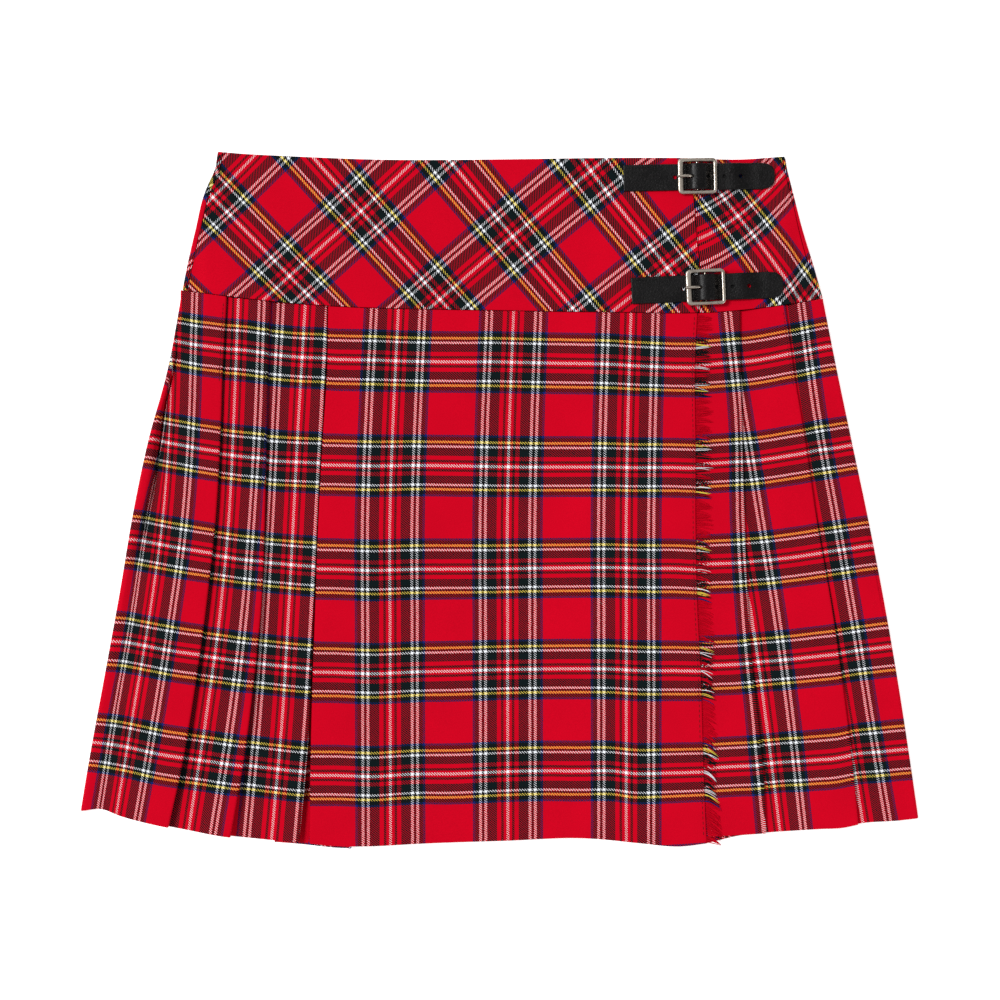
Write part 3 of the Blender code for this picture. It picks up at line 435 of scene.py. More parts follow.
class KiltFastening(bpy.types.PropertyGroup):
    strap_thickness: millimetres("Strap thickness", "Thickness of the leather", 1.6, 0.8)
    strap_bevel: millimetres("Strap edge", "Rounding of the strap's edges", 0.45)
    hole_radius: millimetres("Hole radius", "Radius of the strap's punched holes", 1.3, 0.3)
    frame_width: millimetres("Buckle length", "Buckle's size along the strap", 25.5, 5.0)
    frame_height: millimetres("Buckle height", "Buckle's size across the strap", 23.3, 5.0)
    frame_bar: millimetres("Buckle bar", "Width of the buckle's bars", 2.4, 0.5)
    frame_left_bar: millimetres("Wide bar", "Width of the bar that the prong rests on", 3.6, 0.5)
    frame_thickness: millimetres("Buckle thickness", "Thickness of the buckle's bars", 2.4, 0.5)
    leather: colour("Leather", "Black dyed leather", "#0C0A0B")
    nickel: colour("Nickel", "Slightly dulled nickel plate", "#B8AEA2")
    thread: colour("Strap thread", "Thread that sews the straps down", "#18181A")


class KiltStudio(bpy.types.PropertyGroup):
    focal: bpy.props.FloatProperty(name="Lens", description="Focal length in millimetres",
                                   default=85.0, min=10.0)
    view: millimetres("View", "Width of cloth that the camera sees", 650.0, 50.0)
    key: bpy.props.FloatProperty(name="Key light", description="Power of the main soft light",
                                 default=915.0, min=0.0, unit="POWER")
    fill: bpy.props.FloatProperty(name="Fill light", description="Power of the opposite light",
                                  default=26.0, min=0.0, unit="POWER")
    air: bpy.props.FloatProperty(name="Surrounding light", default=0.36, min=0.0,
                                 description="Strength of the even light from all round")
    floor: colour("Floor", "Plain pale floor", "#FCFCFC")
    table: bpy.props.FloatProperty(name="Light table", default=0.6, min=0.0,
                                   description="Strength of the light through the floor")


# ---- reading the tables -------------------------------------------------------------------

def read(rows, places, column=1, reach_on=False):
    """The column's values at places along the rows, on a smooth curve through them. Past the
    ends the value stays, or runs straight on."""
    table = np.array(rows, dtype=float)
    table = table[np.argsort(table[:, 0])]
    at, values = table[:, 0], table[:, column]
    slopes = np.gradient(values, at)
    places = np.asarray(places, dtype=float)
    inside = np.clip(places, at[0], at[-1])
    first = np.clip(np.searchsorted(at, inside, side="right") - 1, 0, len(at) - 2)
    step = at[first + 1] - at[first]
    t = (inside - at[first]) / step
    curve = (values[first] * (2 * t**3 - 3 * t**2 + 1) + slopes[first] * step * (t**3 - 2 * t**2 + t)
             + values[first + 1] * (3 * t**2 - 2 * t**3)
             + slopes[first + 1] * step * (t**3 - t**2))
    if reach_on:
        curve = curve + (places - inside) * np.where(places < inside, slopes[0], slopes[-1])
    return curve


def ease(share):
    """A share from 0 to 1 that starts and ends softly."""
    share = np.clip(share, 0.0, 1.0)
    return share * share * (3.0 - 2.0 * share)


def blend(value, start, end):
    """Rises softly from 0 to 1 between a start and an end, which may be the lower one."""
    return ease((value - start) / (end - start))


def height(layer):
    """Height of the middle of the cloth in a layer."""
    return PACKED_CLOTH / 2 + LAYER * layer


def creases(rows, x, y):
    """Rise of the cloth over soft creases, each a ridge or a trough that fades at its ends."""
    rise = np.zeros(np.broadcast(x, y).shape)
    for x_top, y_top, x_low, y_low, half_width, peak in rows:
        along_x, along_y = x_low - x_top, y_low - y_top
        length = math.hypot(along_x, along_y)
        share = ((x - x_top) * along_x + (y - y_top) * along_y) / length**2
        across = ((x - x_top) * along_y - (y - y_top) * along_x) / length
        wander = across + CREASE_WANDER * half_width * np.sin(5.0 * share + x_top)
        fade = ease(share / CREASE_FADE) * ease((1.0 - share) / CREASE_FADE)
        rise = rise + peak * fade * np.exp(-(wander / half_width)**2)
    return rise


# ---- the skirt's and the yoke's outlines ------------------------------------------------------

def seam_height(x):
    """Height along the kilt of the hip seam, at places across."""
    left = np.maximum(SEAM_LEFT_START - x, 0.0)
    right = np.maximum(x - SEAM_RIGHT_START, 0.0)
    return (SEAM_MIDDLE + SEAM_TILT * x
            + SEAM_LEFT_BEND * left * left + SEAM_RIGHT_BEND * right * right)


def skirt_height(x, share, hem):
    """Height along the kilt at a share of the way from the hip seam to the hem."""
    top = seam_height(x) - SEAM_GAP / 2
    return top + share * (read(hem, x) - top)


def line_place(name, share, hem):
    """Where a named line of the skirt crosses a share of the way down."""
    column = LINE_COLUMNS.index(name)
    x = read(LINE_ROWS, np.zeros_like(share), column)
    for _ in range(5):
        x = read(LINE_ROWS, skirt_height(x, share, hem), column)
    return x if name.startswith("side") else x / SEEN


def yoke_height(x, share):
    """Height along the kilt at a share of the way from the waist to the hip seam."""
    top = read(TOP_ROWS, x)
    return top + share * (seam_height(x) + SEAM_GAP / 2 - top)


def yoke_place(name, share):
    """Where a named edge of the yoke is, at a share of the way from the waist."""
    column = YOKE_COLUMNS.index(name)
    x = read(YOKE_ROWS, np.full_like(share, YOKE_MIDDLE), column)
    for _ in range(5):
        x = read(YOKE_ROWS, yoke_height(x, share), column)
    return x


def straight(rows, x):
    """The rows' value at places across, straight from row to row."""
    return np.interp(x, [row[0] for row in rows], [row[1] for row in rows])


def yoke_rise(x, share, waist_layer, layer_rows):
    """Height above the floor of a front yoke, which climbs to meet the pleats at the seam."""
    climb = blend(share, RISE_START, RISE_END)
    return height(waist_layer + climb * (straight(layer_rows, x) - waist_layer))


def side_seam(edge_name, share, strip, waist_layer, layer_rows):
    """Place and height of the side seam: the back yoke's turned-up strip ends there."""
    edge = yoke_place(edge_name, share)
    inward = 1.0 if edge_name == "left" else -1.0
    front = yoke_rise(edge, share, waist_layer, layer_rows)
    turn = (front - height(BACK_LAYER)) / 2 + PACKED_CLOTH / 2 + SIDE_STRIP_FLAT
    return edge + inward * np.maximum(strip, turn), front


# ---- where the threads run --------------------------------------------------------------------

def along_lines(value, marks, numbers):
    """Numbers at a value between marks that rise, straight from mark to mark and past them."""
    result = None
    for low, high, first, second in zip(marks, marks[1:], numbers, numbers[1:]):
        run = first + (value - low) * (second - first) / (high - low)
        result = run if result is None else np.where(value > low, run, result)
    return result


def panel_threads(name):
    """The warp and weft places of a skirt panel, from the places of its lines."""
    lines = WARP_LINES[name]

    def at(x, y):
        x, y = x * SEEN, y * SEEN
        places = [read(list(zip(PANEL_HEIGHTS, places)), y, reach_on=True) for _, places in lines]
        numbers = [number for number, _ in lines]
        if len(lines) == 1:
            u = numbers[0] + x - places[0]
        else:
            u = along_lines(x, places, numbers)
        levels = [-read(WEFT_ROWS[name], x, column, reach_on=True) for column in range(1, 6)]
        levels.insert(0, levels[0] - WEFT_REPEAT)
        v = along_lines(-y, levels, [WEFT_REPEAT * group for group in range(-1, 5)])
        return u, v

    return at


def bias_threads(crossings):
    """The warp and weft places of a yoke, on a smooth curved net through its crossings."""
    table = np.array(crossings, dtype=float)
    u = table[:, 2] * WARP_REPEAT + table[:, 3] * DOUBLE
    v = -table[:, 4] * WEFT_REPEAT + table[:, 5] * YELLOW
    middle = table[:, :2].mean(axis=0)
    spread = np.abs(table[:, :2] - middle).max(axis=0)
    curved = len(crossings) > 12

    def terms(x, y):
        x = (x - middle[0]) / spread[0]
        y = (y - middle[1]) / spread[1]
        one = np.ones(np.broadcast(x, y).shape)
        found = [one, x * one, y * one, x * y, x * x, y * y]
        if curved:
            found += [x**3, x * x * y]
        return np.stack([f * one for f in found], axis=-1)

    fit_u, fit_v = (np.linalg.lstsq(terms(table[:, 0], table[:, 1]), wanted, rcond=None)[0]
                    for wanted in (u, v))

    def at(x, y):
        found = terms(x * SEEN, y * SEEN)
        return found @ fit_u, found @ fit_v

    return at


# ---- making cloth ---------------------------------------------------------------------------

def stations(count, length):
    """Shares of a length, close together at both ends, where the rim is rounded."""
    near = np.array([0.0, 0.16, 0.5]) / length
    between = np.linspace(1.4 / length, 1.0 - 1.4 / length, count)
    return np.concatenate([near, between, 1.0 - near[::-1]])


def run_length(steps):
    """The length run at each place, from the lengths of the steps between them."""
    return np.concatenate([np.zeros_like(steps[..., :1]), np.cumsum(steps, axis=-1)], axis=-1)


def link(name, data):
    """Adds an object with its data to the scene."""
    piece = bpy.data.objects.new(name, data)
    bpy.context.scene.collection.objects.link(piece)
    return piece


class Walk:
    """A line of cloth seen from the hem, worked out for every row of the piece at once. Each
    column has its place, its height, and the panel whose threads it shows, if any."""

    def __init__(self, x, z):
        self.xs = [x]
        self.zs = [z + np.zeros_like(x)]
        self.panels = [None]

    def add(self, x, z, panel=None):
        """Add one column."""
        self.xs.append(x + np.zeros_like(self.xs[0]))
        self.zs.append(z + np.zeros_like(self.xs[0]))
        self.panels.append(panel)

    def run(self, x, z=None, steps=1, panel=None, shape=None):
        """Go on to a new place, sloping softly if its height differs, or as the shape says."""
        old_x, old_z = self.xs[-1], self.zs[-1]
        new_z = old_z if z is None else z
        for step in range(1, steps + 1):
            share = step / steps
            here = old_x + (x - old_x) * share
            level = old_z + (new_z - old_z) * ease(share)
            self.add(here, level if shape is None else shape(here), panel)

    def fold(self, edge, z, steps=9, reach=None, side=1.0, panel=None):
        """Go on to a fold whose outside reaches the edge, and turn back at another height. Side
        says which way it goes, and reach is the half-round's depth if it isn't its radius."""
        old_z = self.zs[-1]
        radius = np.abs(z - old_z) / 2 if reach is None else reach
        centre = edge - side * (radius + PACKED_CLOTH / 2)
        self.add(centre, old_z)
        for step in range(1, steps + 1):
            angle = math.pi * step / steps
            self.add(centre + side * radius * math.sin(angle),
                     old_z + (z - old_z) * (1 - math.cos(angle)) / 2, panel)

    def rimmed(self):
        """The columns as arrays, with two more at each end where the rim is rounded."""
        xs, zs = np.stack(self.xs, axis=1), np.stack(self.zs, axis=1)
        panels = list(self.panels)
        for end in (0, 1):
            order = slice(None) if end == 0 else slice(None, None, -1)
            xs, zs, panels = xs[:, order], zs[:, order], panels[::-1] if end else panels
            length = np.hypot(xs[:, 1] - xs[:, 0], zs[:, 1] - zs[:, 0])[:, None]
            shares = np.minimum(np.array([[0.16, 0.5]]) / length, 0.8)
            extra_x = xs[:, :1] + (xs[:, 1:2] - xs[:, :1]) * shares
            extra_z = zs[:, :1] + (zs[:, 1:2] - zs[:, :1]) * shares
            xs = np.concatenate([xs[:, :1], extra_x, xs[:, 1:]], axis=1)[:, order]
            zs = np.concatenate([zs[:, :1], extra_z, zs[:, 1:]], axis=1)[:, order]
            panels = [panels[0], panels[1], panels[1]] + panels[1:]
            panels = panels[::-1] if end else panels
        return xs, zs, panels


def spread_threads(places, panels, backwards):
    """Warp and weft places of every column. Columns that show a panel have the panel's own, and
    hidden ones share out what lies between by the length of cloth."""
    x, y = places[:, :, 0], places[:, :, 1]
    length = run_length(np.linalg.norm(np.diff(places[:, :, [0, 2]], axis=1), axis=2))
    u, v = np.zeros_like(x), np.zeros_like(x)
    shown = [index for index, panel in enumerate(panels) if panel is not None]
    turn = -1.0 if backwards else 1.0
    shift, before = 0.0, None
    for index in shown:
        here_u, here_v = panels[index](x[:, index], y[:, index])
        if before is not None and index > before + 1:
            # hidden cloth before this column: whole repeats bring its length closest to the truth
            run = length[:, index] - length[:, before]
            wanted = u[:, before] + turn * run
            shift = WARP_REPEAT * np.round(np.mean(wanted - here_u) / WARP_REPEAT)
            share = (length[:, before + 1:index] - length[:, before:before + 1]) / run[:, None]
            for threads, here in ((u, here_u + shift), (v, here_v)):
                last = threads[:, before:before + 1]
                threads[:, before + 1:index] = last + share * (here[:, None] - last)
        u[:, index], v[:, index] = here_u + shift, here_v
        before = index
    for near, columns in ((shown[0], range(shown[0])),
                          (shown[-1], range(shown[-1] + 1, len(panels)))):
        for index in columns:
            u[:, index] = u[:, near] + turn * (length[:, index] - length[:, near])
            v[:, index] = v[:, near] - (y[:, index] - y[:, near])
    return np.stack([u, v], axis=-1)


def shell(name, places, threads, thickness, material):
    """A closed shell of cloth about a grid of places, with rounded rims and its threads in the
    UV map Weave, in millimetres."""
    rows, columns = places.shape[:2]
    normals = np.cross(np.gradient(places, axis=1), np.gradient(places, axis=0))
    normals /= np.maximum(np.linalg.norm(normals, axis=2, keepdims=True), 1e-9)
    taper_rows, taper_columns = np.ones(rows), np.ones(columns)
    for taper in (taper_rows, taper_columns):
        taper[:3] = RIM_TAPER
        taper[-3:] = RIM_TAPER[::-1]
    half = thickness / 2 * np.minimum(taper_rows[:, None], taper_columns[None, :])[:, :, None]
    verts = np.concatenate([(places + normals * half).reshape(-1, 3),
                            (places - normals * half).reshape(-1, 3)]) * MM
    top = np.arange(rows * columns).reshape(rows, columns)
    under = top + rows * columns
    quads = [(top[:-1, :-1], top[:-1, 1:], top[1:, 1:], top[1:, :-1]),
             (under[:-1, :-1], under[1:, :-1], under[1:, 1:], under[:-1, 1:]),
             (top[:-1, 0], top[1:, 0], under[1:, 0], under[:-1, 0]),
             (top[:-1, -1], under[:-1, -1], under[1:, -1], top[1:, -1]),
             (top[0, :-1], under[0, :-1], under[0, 1:], top[0, 1:]),
             (top[-1, :-1], top[-1, 1:], under[-1, 1:], under[-1, :-1])]
    quads = np.concatenate([np.stack(quad, -1).reshape(-1, 4) for quad in quads])
    piece = mesh_piece(name, verts, quads, material, np.concatenate([threads.reshape(-1, 2)] * 2))
    LAID[name] = (places, thickness)
    return piece


def mesh_piece(name, verts, faces, material, threads=None):
    """An object at the origin from arrays of vertices and equal faces."""
    mesh = bpy.data.meshes.new(name)
    mesh.vertices.add(len(verts))
    mesh.vertices.foreach_set("co", np.ascontiguousarray(verts, dtype=np.float32).ravel())
    mesh.loops.add(faces.size)
    mesh.loops.foreach_set("vertex_index", faces.ravel().astype(np.int32))
    mesh.polygons.add(len(faces))
    mesh.polygons.foreach_set("loop_start", np.arange(0, faces.size, faces.shape[1], np.int32))
    mesh.update(calc_edges=True)
    mesh.validate()
    mesh.polygons.foreach_set("use_smooth", np.ones(len(mesh.polygons), dtype=bool))
    if threads is not None:
        layer = mesh.uv_layers.new(name="Weave")
        corners = np.zeros(len(mesh.loops), dtype=np.int32)
        mesh.loops.foreach_get("vertex_index", corners)
        layer.data.foreach_set("uv", threads[corners].astype(np.float32).ravel())
    mesh.materials.append(material)
    return link(name, mesh)


def skirt_grid(walk, share, hem, crease_rows, longer=None):
    """Places of a skirt piece and its columns' panels, with creases on what shows. The longer
    columns are hidden cloth that reaches a little below the hem."""
    xs, zs, panels = walk.rimmed()
    ys = skirt_height(xs, share[:, None], hem)
    if longer is not None:
        ys[:, longer] -= UNDERLAY_DROP * share[:, None]
    shown = np.array([panel is not None for panel in panels])
    soft = np.convolve(shown.astype(float), np.ones(5) / 5, mode="same")
    zs = zs + creases(crease_rows, xs, ys) * np.where(shown, soft, 0.0)[None, :]
    return np.stack([xs, ys, zs], axis=-1), panels


def finish_piece(piece, slot, *nodes):
    """The piece rides on the kilt's one body, in place of its plain solids."""
    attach(piece, "root")
    if nodes:
        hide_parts(*nodes)
    return piece


# ---- materials ----------------------------------------------------------------------------------

SHADES = ("red", "black", "green", "blue", "white", "yellow")
NOISE_SPAN = {"From Min": 0.3, "From Max": 0.7}  # nearly all of a noise lies between these


def node(tree, kind, feeds=None, output=0, **settings):
    """Adds a node with its settings, feeds its inputs, and gives one of its outputs."""
    new = tree.nodes.new("ShaderNode" + kind)
    for key, value in settings.items():
        setattr(new, key, value)
    feed(new, feeds or {})
    return new.outputs[output]


def feed(target, feeds):
    """Feeds a node's inputs by name or number: each with a value, or the output that it takes."""
    for key, value in feeds.items():
        if isinstance(value, bpy.types.NodeSocket):
            target.id_data.links.new(value, target.inputs[key])
        else:
            target.inputs[key].default_value = value


def new_material(name):
    """A material with an empty shader, and its tree and shader."""
    material = bpy.data.materials.new(name)
    material.use_nodes = True
    return material, material.node_tree, material.node_tree.nodes["Principled BSDF"]


def stops(ramp, places_and_colours):
    """Sets the stops of a colour ramp, given by its output, and gives the output back."""
    elements = ramp.node.color_ramp.elements
    while len(elements) > 1:
        elements.remove(elements[-1])
    for index, (place, tint) in enumerate(places_and_colours):
        element = elements[0] if index == 0 else elements.new(place)
        element.position = place
        element.color = (*tint, 1.0)
    return ramp


def band_colours(tree, place, repeat, bands, shades):
    """The colour of the threads at a place across the sett, which mirrors about each group."""
    half = repeat / 2
    folded = node(tree, "Math", {0: place, 1: half}, operation="PINGPONG")
    ramp = node(tree, "ValToRGB", {0: node(tree, "Math", {0: folded, 1: half},
                                           operation="DIVIDE")})
    ramp.node.color_ramp.interpolation = "CONSTANT"
    starts = [0.0] + [end / half for _, end in bands[:-1]]
    return stops(ramp, [(start, shades[shade]) for start, (shade, _) in zip(starts, bands)])


def wool_twill(cloth, frayed, name):
    """Worsted wool woven in a 2/2 twill and pressed: matt, with fine ribs that slant across it.
    Where two colours cross, each shows on the crowns of its own ribs. The furrows between them
    hold painted shade: their darker mixture, though nothing darker than the black wool."""
    material, tree, shader = new_material(name)
    shades = {shade: tuple(getattr(cloth, shade)) for shade in SHADES}
    uv = node(tree, "UVMap", uv_map="Weave")
    spot = node(tree, "TexCoord", output="Object")
    # threads wander a little: up to 0.15 mm over about 6 mm of cloth
    wander = node(tree, "TexNoise", {"Vector": spot, "Scale": 160.0, "Detail": 2.0}, "Color")
    pushed = node(tree, "VectorMath", {0: wander, 1: (0.5, 0.5, 0.5)}, operation="SUBTRACT")
    pushed = node(tree, "VectorMath", {0: pushed, 1: (0.3, 0.3, 0.0)}, operation="MULTIPLY")
    uv = node(tree, "VectorMath", {0: uv, 1: pushed}, operation="ADD")
    u = node(tree, "SeparateXYZ", {0: uv})
    v = u.node.outputs["Y"]
    # a twill's float passes over two threads and under two, and moves on by one each row, so
    # its ribs repeat every four threads both ways
    ends, picks = (node(tree, "Math", {0: place, 1: 4 * spacing / MM}, operation="DIVIDE")
                   for place, spacing in ((u, cloth.warp_thread), (v, cloth.weft_thread)))
    turn = node(tree, "Math", {0: ends, 1: picks}, operation="SUBTRACT")
    turn = node(tree, "Math", {0: turn}, operation="FRACT")
    mixed = weft = band_colours(tree, v, WEFT_REPEAT, WEFT_BANDS, shades)
    if not frayed:
        warp = band_colours(tree, u, WARP_REPEAT, WARP_BANDS, shades)
        # painted shade in the twill's furrows: the darker of the two crossing colours stands in for
        # the shadow between the floats
        mixed = node(tree, "Mix", {0: 1.0, 6: warp, 7: weft}, 2, data_type="RGBA",
                     blend_type="DARKEN")
        apart = node(tree, "VectorMath", {0: warp, 1: weft}, "Value", operation="DISTANCE")
        apart = node(tree, "Math", {0: apart, 1: 2.0}, operation="MULTIPLY", use_clamp=True)
        # where the two colours differ, the painted shade goes no darker than the black wool
        mixed = node(tree, "Mix", {0: apart, 6: mixed, 7: (*shades["black"], 1.0)}, 2,
                     data_type="RGBA", blend_type="LIGHTEN")
        # only the lit crown of each float shows its own colour; the rest of the cloth keeps the
        # painted shade
        for crown, share, tint in ((0.25, cloth.warp_shows, warp), (0.75, cloth.weft_shows, weft)):
            shows = node(tree, "Math", {0: turn, 1: crown, 2: share / 2}, operation="COMPARE")
            mixed = node(tree, "Mix", {0: shows, 6: mixed, 7: tint}, 2, data_type="RGBA")
    # uneven dye and lie of the fibres: over 0.5 mm, and over patches of some 30 mm
    fibre = node(tree, "TexNoise", {"Vector": spot, "Scale": 1800.0, "Detail": 3.0})
    patch = node(tree, "TexNoise", {"Vector": spot, "Scale": 32.0, "Detail": 2.0})
    value = node(tree, "MapRange", {"Value": fibre, **NOISE_SPAN, "To Min": 0.9, "To Max": 1.1})
    patchy = node(tree, "MapRange", {"Value": patch, **NOISE_SPAN, "To Min": 0.96,
                                     "To Max": 1.04})
    both = node(tree, "Math", {0: value, 1: patchy}, operation="MULTIPLY")
    tint = node(tree, "HueSaturation", {"Value": both, "Color": mixed})
    # two ribs to a repeat, one of warp and one of weft, and loose fibres over them
    rib = node(tree, "Math", {0: turn, 1: 4 * math.pi}, operation="MULTIPLY")
    rib = node(tree, "Math", {0: rib}, operation="COSINE")
    rib = node(tree, "Math", {0: rib, 1: -0.5, 2: fibre}, operation="MULTIPLY_ADD")
    bump = node(tree, "Bump", {"Height": rib, "Strength": 0.25, "Distance": 0.06 * MM})
    feed(shader, {"Base Color": tint, "Normal": bump, "Roughness": 0.9,
                  "Specular IOR Level": 0.06})
    return material


def bridle_leather(fastening, name):
    """Black bridle leather, dyed and waxed: a fine grain of pebbles with a satin gloss."""
    material, tree, shader = new_material(name)
    spot = node(tree, "TexCoord", output="Object")
    # grain pebbles and pores are drawn 1.4 mm across, twice as coarse as real, so that they show
    pebble = node(tree, "TexVoronoi", {"Vector": spot, "Scale": 700.0, "Randomness": 1.0})
    pore = node(tree, "TexNoise", {"Vector": spot, "Scale": 1200.0, "Detail": 2.0})
    wear = node(tree, "TexNoise", {"Vector": spot, "Scale": 90.0, "Detail": 4.0})
    grain = node(tree, "Math", {0: pebble, 1: 0.6, 2: pore}, operation="MULTIPLY_ADD")
    base = Vector(fastening.leather)
    tint = stops(node(tree, "ValToRGB", {0: pore}),
                 [(0.42, base * 0.2), (0.56, base * 0.7), (0.7, base * 3.0)])
    rough = node(tree, "MapRange", {"Value": wear, **NOISE_SPAN, "To Min": 0.3, "To Max": 0.45})
    bump = node(tree, "Bump", {"Height": grain, "Strength": 0.6, "Distance": 0.2 * MM})
    feed(shader, {"Base Color": tint, "Roughness": rough, "Normal": bump,
                  "Specular IOR Level": 0.2})
    return material


def nickel_plate(fastening, name):
    """Cast zinc plated with nickel and slightly dulled: warm grey, with small dark pits."""
    material, tree, shader = new_material(name)
    spot = node(tree, "TexCoord", output="Object")
    cloud = node(tree, "TexNoise", {"Vector": spot, "Scale": 420.0, "Detail": 5.0})
    pits = node(tree, "TexNoise", {"Vector": spot, "Scale": 1300.0, "Detail": 3.0})
    base = Vector(fastening.nickel)
    plate = stops(node(tree, "ValToRGB", {0: cloud}),
                  [(0.3, base * 0.5), (0.48, base), (0.7, base * 1.25)])
    dark = node(tree, "MapRange", {"Value": pits, "From Min": 0.3, "From Max": 0.4,
                                   "To Min": 0.5, "To Max": 1.0})
    tint = node(tree, "HueSaturation", {"Value": dark, "Color": plate})
    rough = node(tree, "MapRange", {"Value": cloud, **NOISE_SPAN, "To Min": 0.42,
                                    "To Max": 0.26})
    bump = node(tree, "Bump", {"Height": pits, "Strength": 0.3, "Distance": 0.1 * MM})
    feed(shader, {"Base Color": tint, "Roughness": rough, "Normal": bump, "Metallic": 1.0})
    return material


def sewing_thread(tint, name):
    """Spun polyester sewing thread: matt, with a slight change of shade along it."""
    material, tree, shader = new_material(name)
    spot = node(tree, "TexCoord", output="Object")
    # twist of the thread, about 0.6 mm long
    twist = node(tree, "TexNoise", {"Vector": spot, "Scale": 1700.0, "Detail": 2.0})
    base = Vector(tint)
    tint = stops(node(tree, "ValToRGB", {0: twist}), [(0.35, base * 0.6), (0.65, base * 1.5)])
    feed(shader, {"Base Color": tint, "Roughness": 0.7, "Specular IOR Level": 0.2})
    return material


def kept(name, maker, *details):
    """A material that is made once and used again by name."""
    return bpy.data.materials.get(name) or maker(*details, name)


# ---- the skirt's pieces -------------------------------------------------------------------------

def lift_at(name, edge, share, hem):
    """How far a named fold is lifted, down its length."""
    return read(LIFT_ROWS, skirt_height(edge, share, hem), LIFT_COLUMNS.index(name))


def lifted(x, edge, depth, lift):
    """How far a pleat's cloth is lifted at a place near its fold."""
    return lift * ease(1.0 - (edge - x) / (LIFT_SPAN * depth))


def left_pleats():
    """The three left pleats, from the inverted pleat's hidden seam round the side to the back."""
    share = stations(ROW_COUNT, SKIRT_LENGTH)
    hem = FRONT_HEM_ROWS
    side = line_place("side_left", share, hem)
    edges = [line_place(name, share, hem) for name in ("fold_l1", "fold_l2", "fold_l3")]
    low, middle, high = height(3), height(4), height(5)
    walk = Walk(edges[0] + INVERTED_LAP, low)
    for name, edge, end in zip(("l1", "l2", "l3"), edges, edges[1:] + [side]):
        depth = PLEAT_SHARE * (edge - end) - INVERTED_EASE * (name == "l1")
        lift = lift_at(name, edge, share, hem)
        threads = panel_threads(name)
        walk.run(edge - depth + FOLD_START, steps=6)
        walk.fold(edge - depth, middle, side=-1.0)
        hidden = walk.xs[-1]
        walk.run(edge - FOLD_START, steps=7,
                 shape=lambda x: middle + lift * blend(x, hidden, edge))
        walk.fold(edge, high + lift, panel=threads)

        def sloped(x, drop, foot):
            return (high + lifted(x, edge, depth, lift)
                    - drop * blend(x, edge - DROP_START * depth, foot))

        if name != "l3":
            foot = end + FOLD_CLEARANCE
            walk.run(foot, steps=44, panel=threads, shape=lambda x: sloped(x, high - low, foot))
    ys = skirt_height(edge, share, hem)
    valley, deep, wide, bank = (read(VALLEY_ROWS, ys, column) for column in range(1, 5))
    valley = np.maximum(valley, side + VALLEY_LEAST)
    reach = np.clip(SIDE_ROUND * (valley - side), *SIDE_ROUND_LIMITS)

    def side_slope(x):
        base = sloped(x, high - low - VALLEY_FLOOR, valley + 3.0)
        left_of = blend(x, valley + 0.3 * wide, valley - wide)
        level = base + (bank - VALLEY_FLOOR) * left_of
        # the higher the bank, the steeper the panel's side, which lies in the bank's shadow
        wall = np.where(x > valley, 1.0 - 0.1 * bank, 1.0) * wide
        dip = deep * np.exp(-((x - valley) / wall)**2)
        return np.maximum(level - dip, height(BACK_LAYER) + 1.5)

    for place, steps in ((valley + 1.6 * wide, 56), (valley - 0.6 * wide, 26),
                         (side + PACKED_CLOTH / 2 + reach, 12)):
        walk.run(place, steps=steps, panel=threads, shape=side_slope)
    walk.fold(side, height(BACK_LAYER), steps=12, reach=reach, side=-1.0)
    walk.run(side + BACK_TURN, steps=10)
    places, panels = skirt_grid(walk, share, hem, LEFT_CREASES, slice(0, 16))
    return "skirt_left_cloth", places, spread_threads(places, panels, backwards=True)


def right_pleats():
    """The under-apron with the two right pleats, and round the side to the back."""
    share = stations(ROW_COUNT, SKIRT_LENGTH)
    hem = RIGHT_HEM_ROWS
    side = line_place("side_right", share, hem)
    before = line_place("apron_edge", share, hem)
    low, middle, high = height(3), height(4), height(5)
    walk = Walk(np.full_like(share, UNDER_EDGE), low)
    walk.run(UNDER_LAYER_ROWS[0][0], steps=9)
    walk.run(UNDER_LAYER_ROWS[1][0], high, 9)
    walk.run(before - 8.0, steps=8)
    for name in ("r1", "r2"):
        edge = line_place("fold_" + name, share, hem)
        depth = PLEAT_SHARE * (edge - before)
        lift = lift_at(name, edge, share, hem)
        begin = walk.xs[-1]

        def climb(x):
            rise = 1.0 if name == "r1" else blend(x, begin, edge - 0.9 * depth)
            return low + (high - low) * rise + lifted(x, edge, depth, lift)

        walk.run(edge - FOLD_START, steps=34, panel=panel_threads(name), shape=climb)
        walk.fold(edge, middle + lift)
        walk.run(edge - depth + FOLD_START, steps=7,
                 shape=lambda x: middle + lift * blend(x, edge - depth, edge))
        walk.fold(edge - depth, low, side=-1.0)
        walk.run(edge + FOLD_CLEARANCE, steps=6)
        before = edge
    begin = walk.xs[-1]
    reach = np.full_like(share, 2.2)
    crest = side - PACKED_CLOTH / 2 - reach

    def soft_side(x):
        across = np.clip((x - begin) / (crest - begin), 0.0, 1.0)
        return low + SIDE_CROWN * np.sin(math.pi * across)**2 * ease(share / 0.15)

    walk.run(crest, steps=46, panel=panel_threads("r3"), shape=soft_side)
    walk.fold(side, height(BACK_LAYER), steps=12, reach=reach)
    walk.run(side - BACK_TURN, steps=10)
    places, panels = skirt_grid(walk, share, hem, RIGHT_CREASES)
    return "apron_under_cloth", places, spread_threads(places, panels, backwards=False)


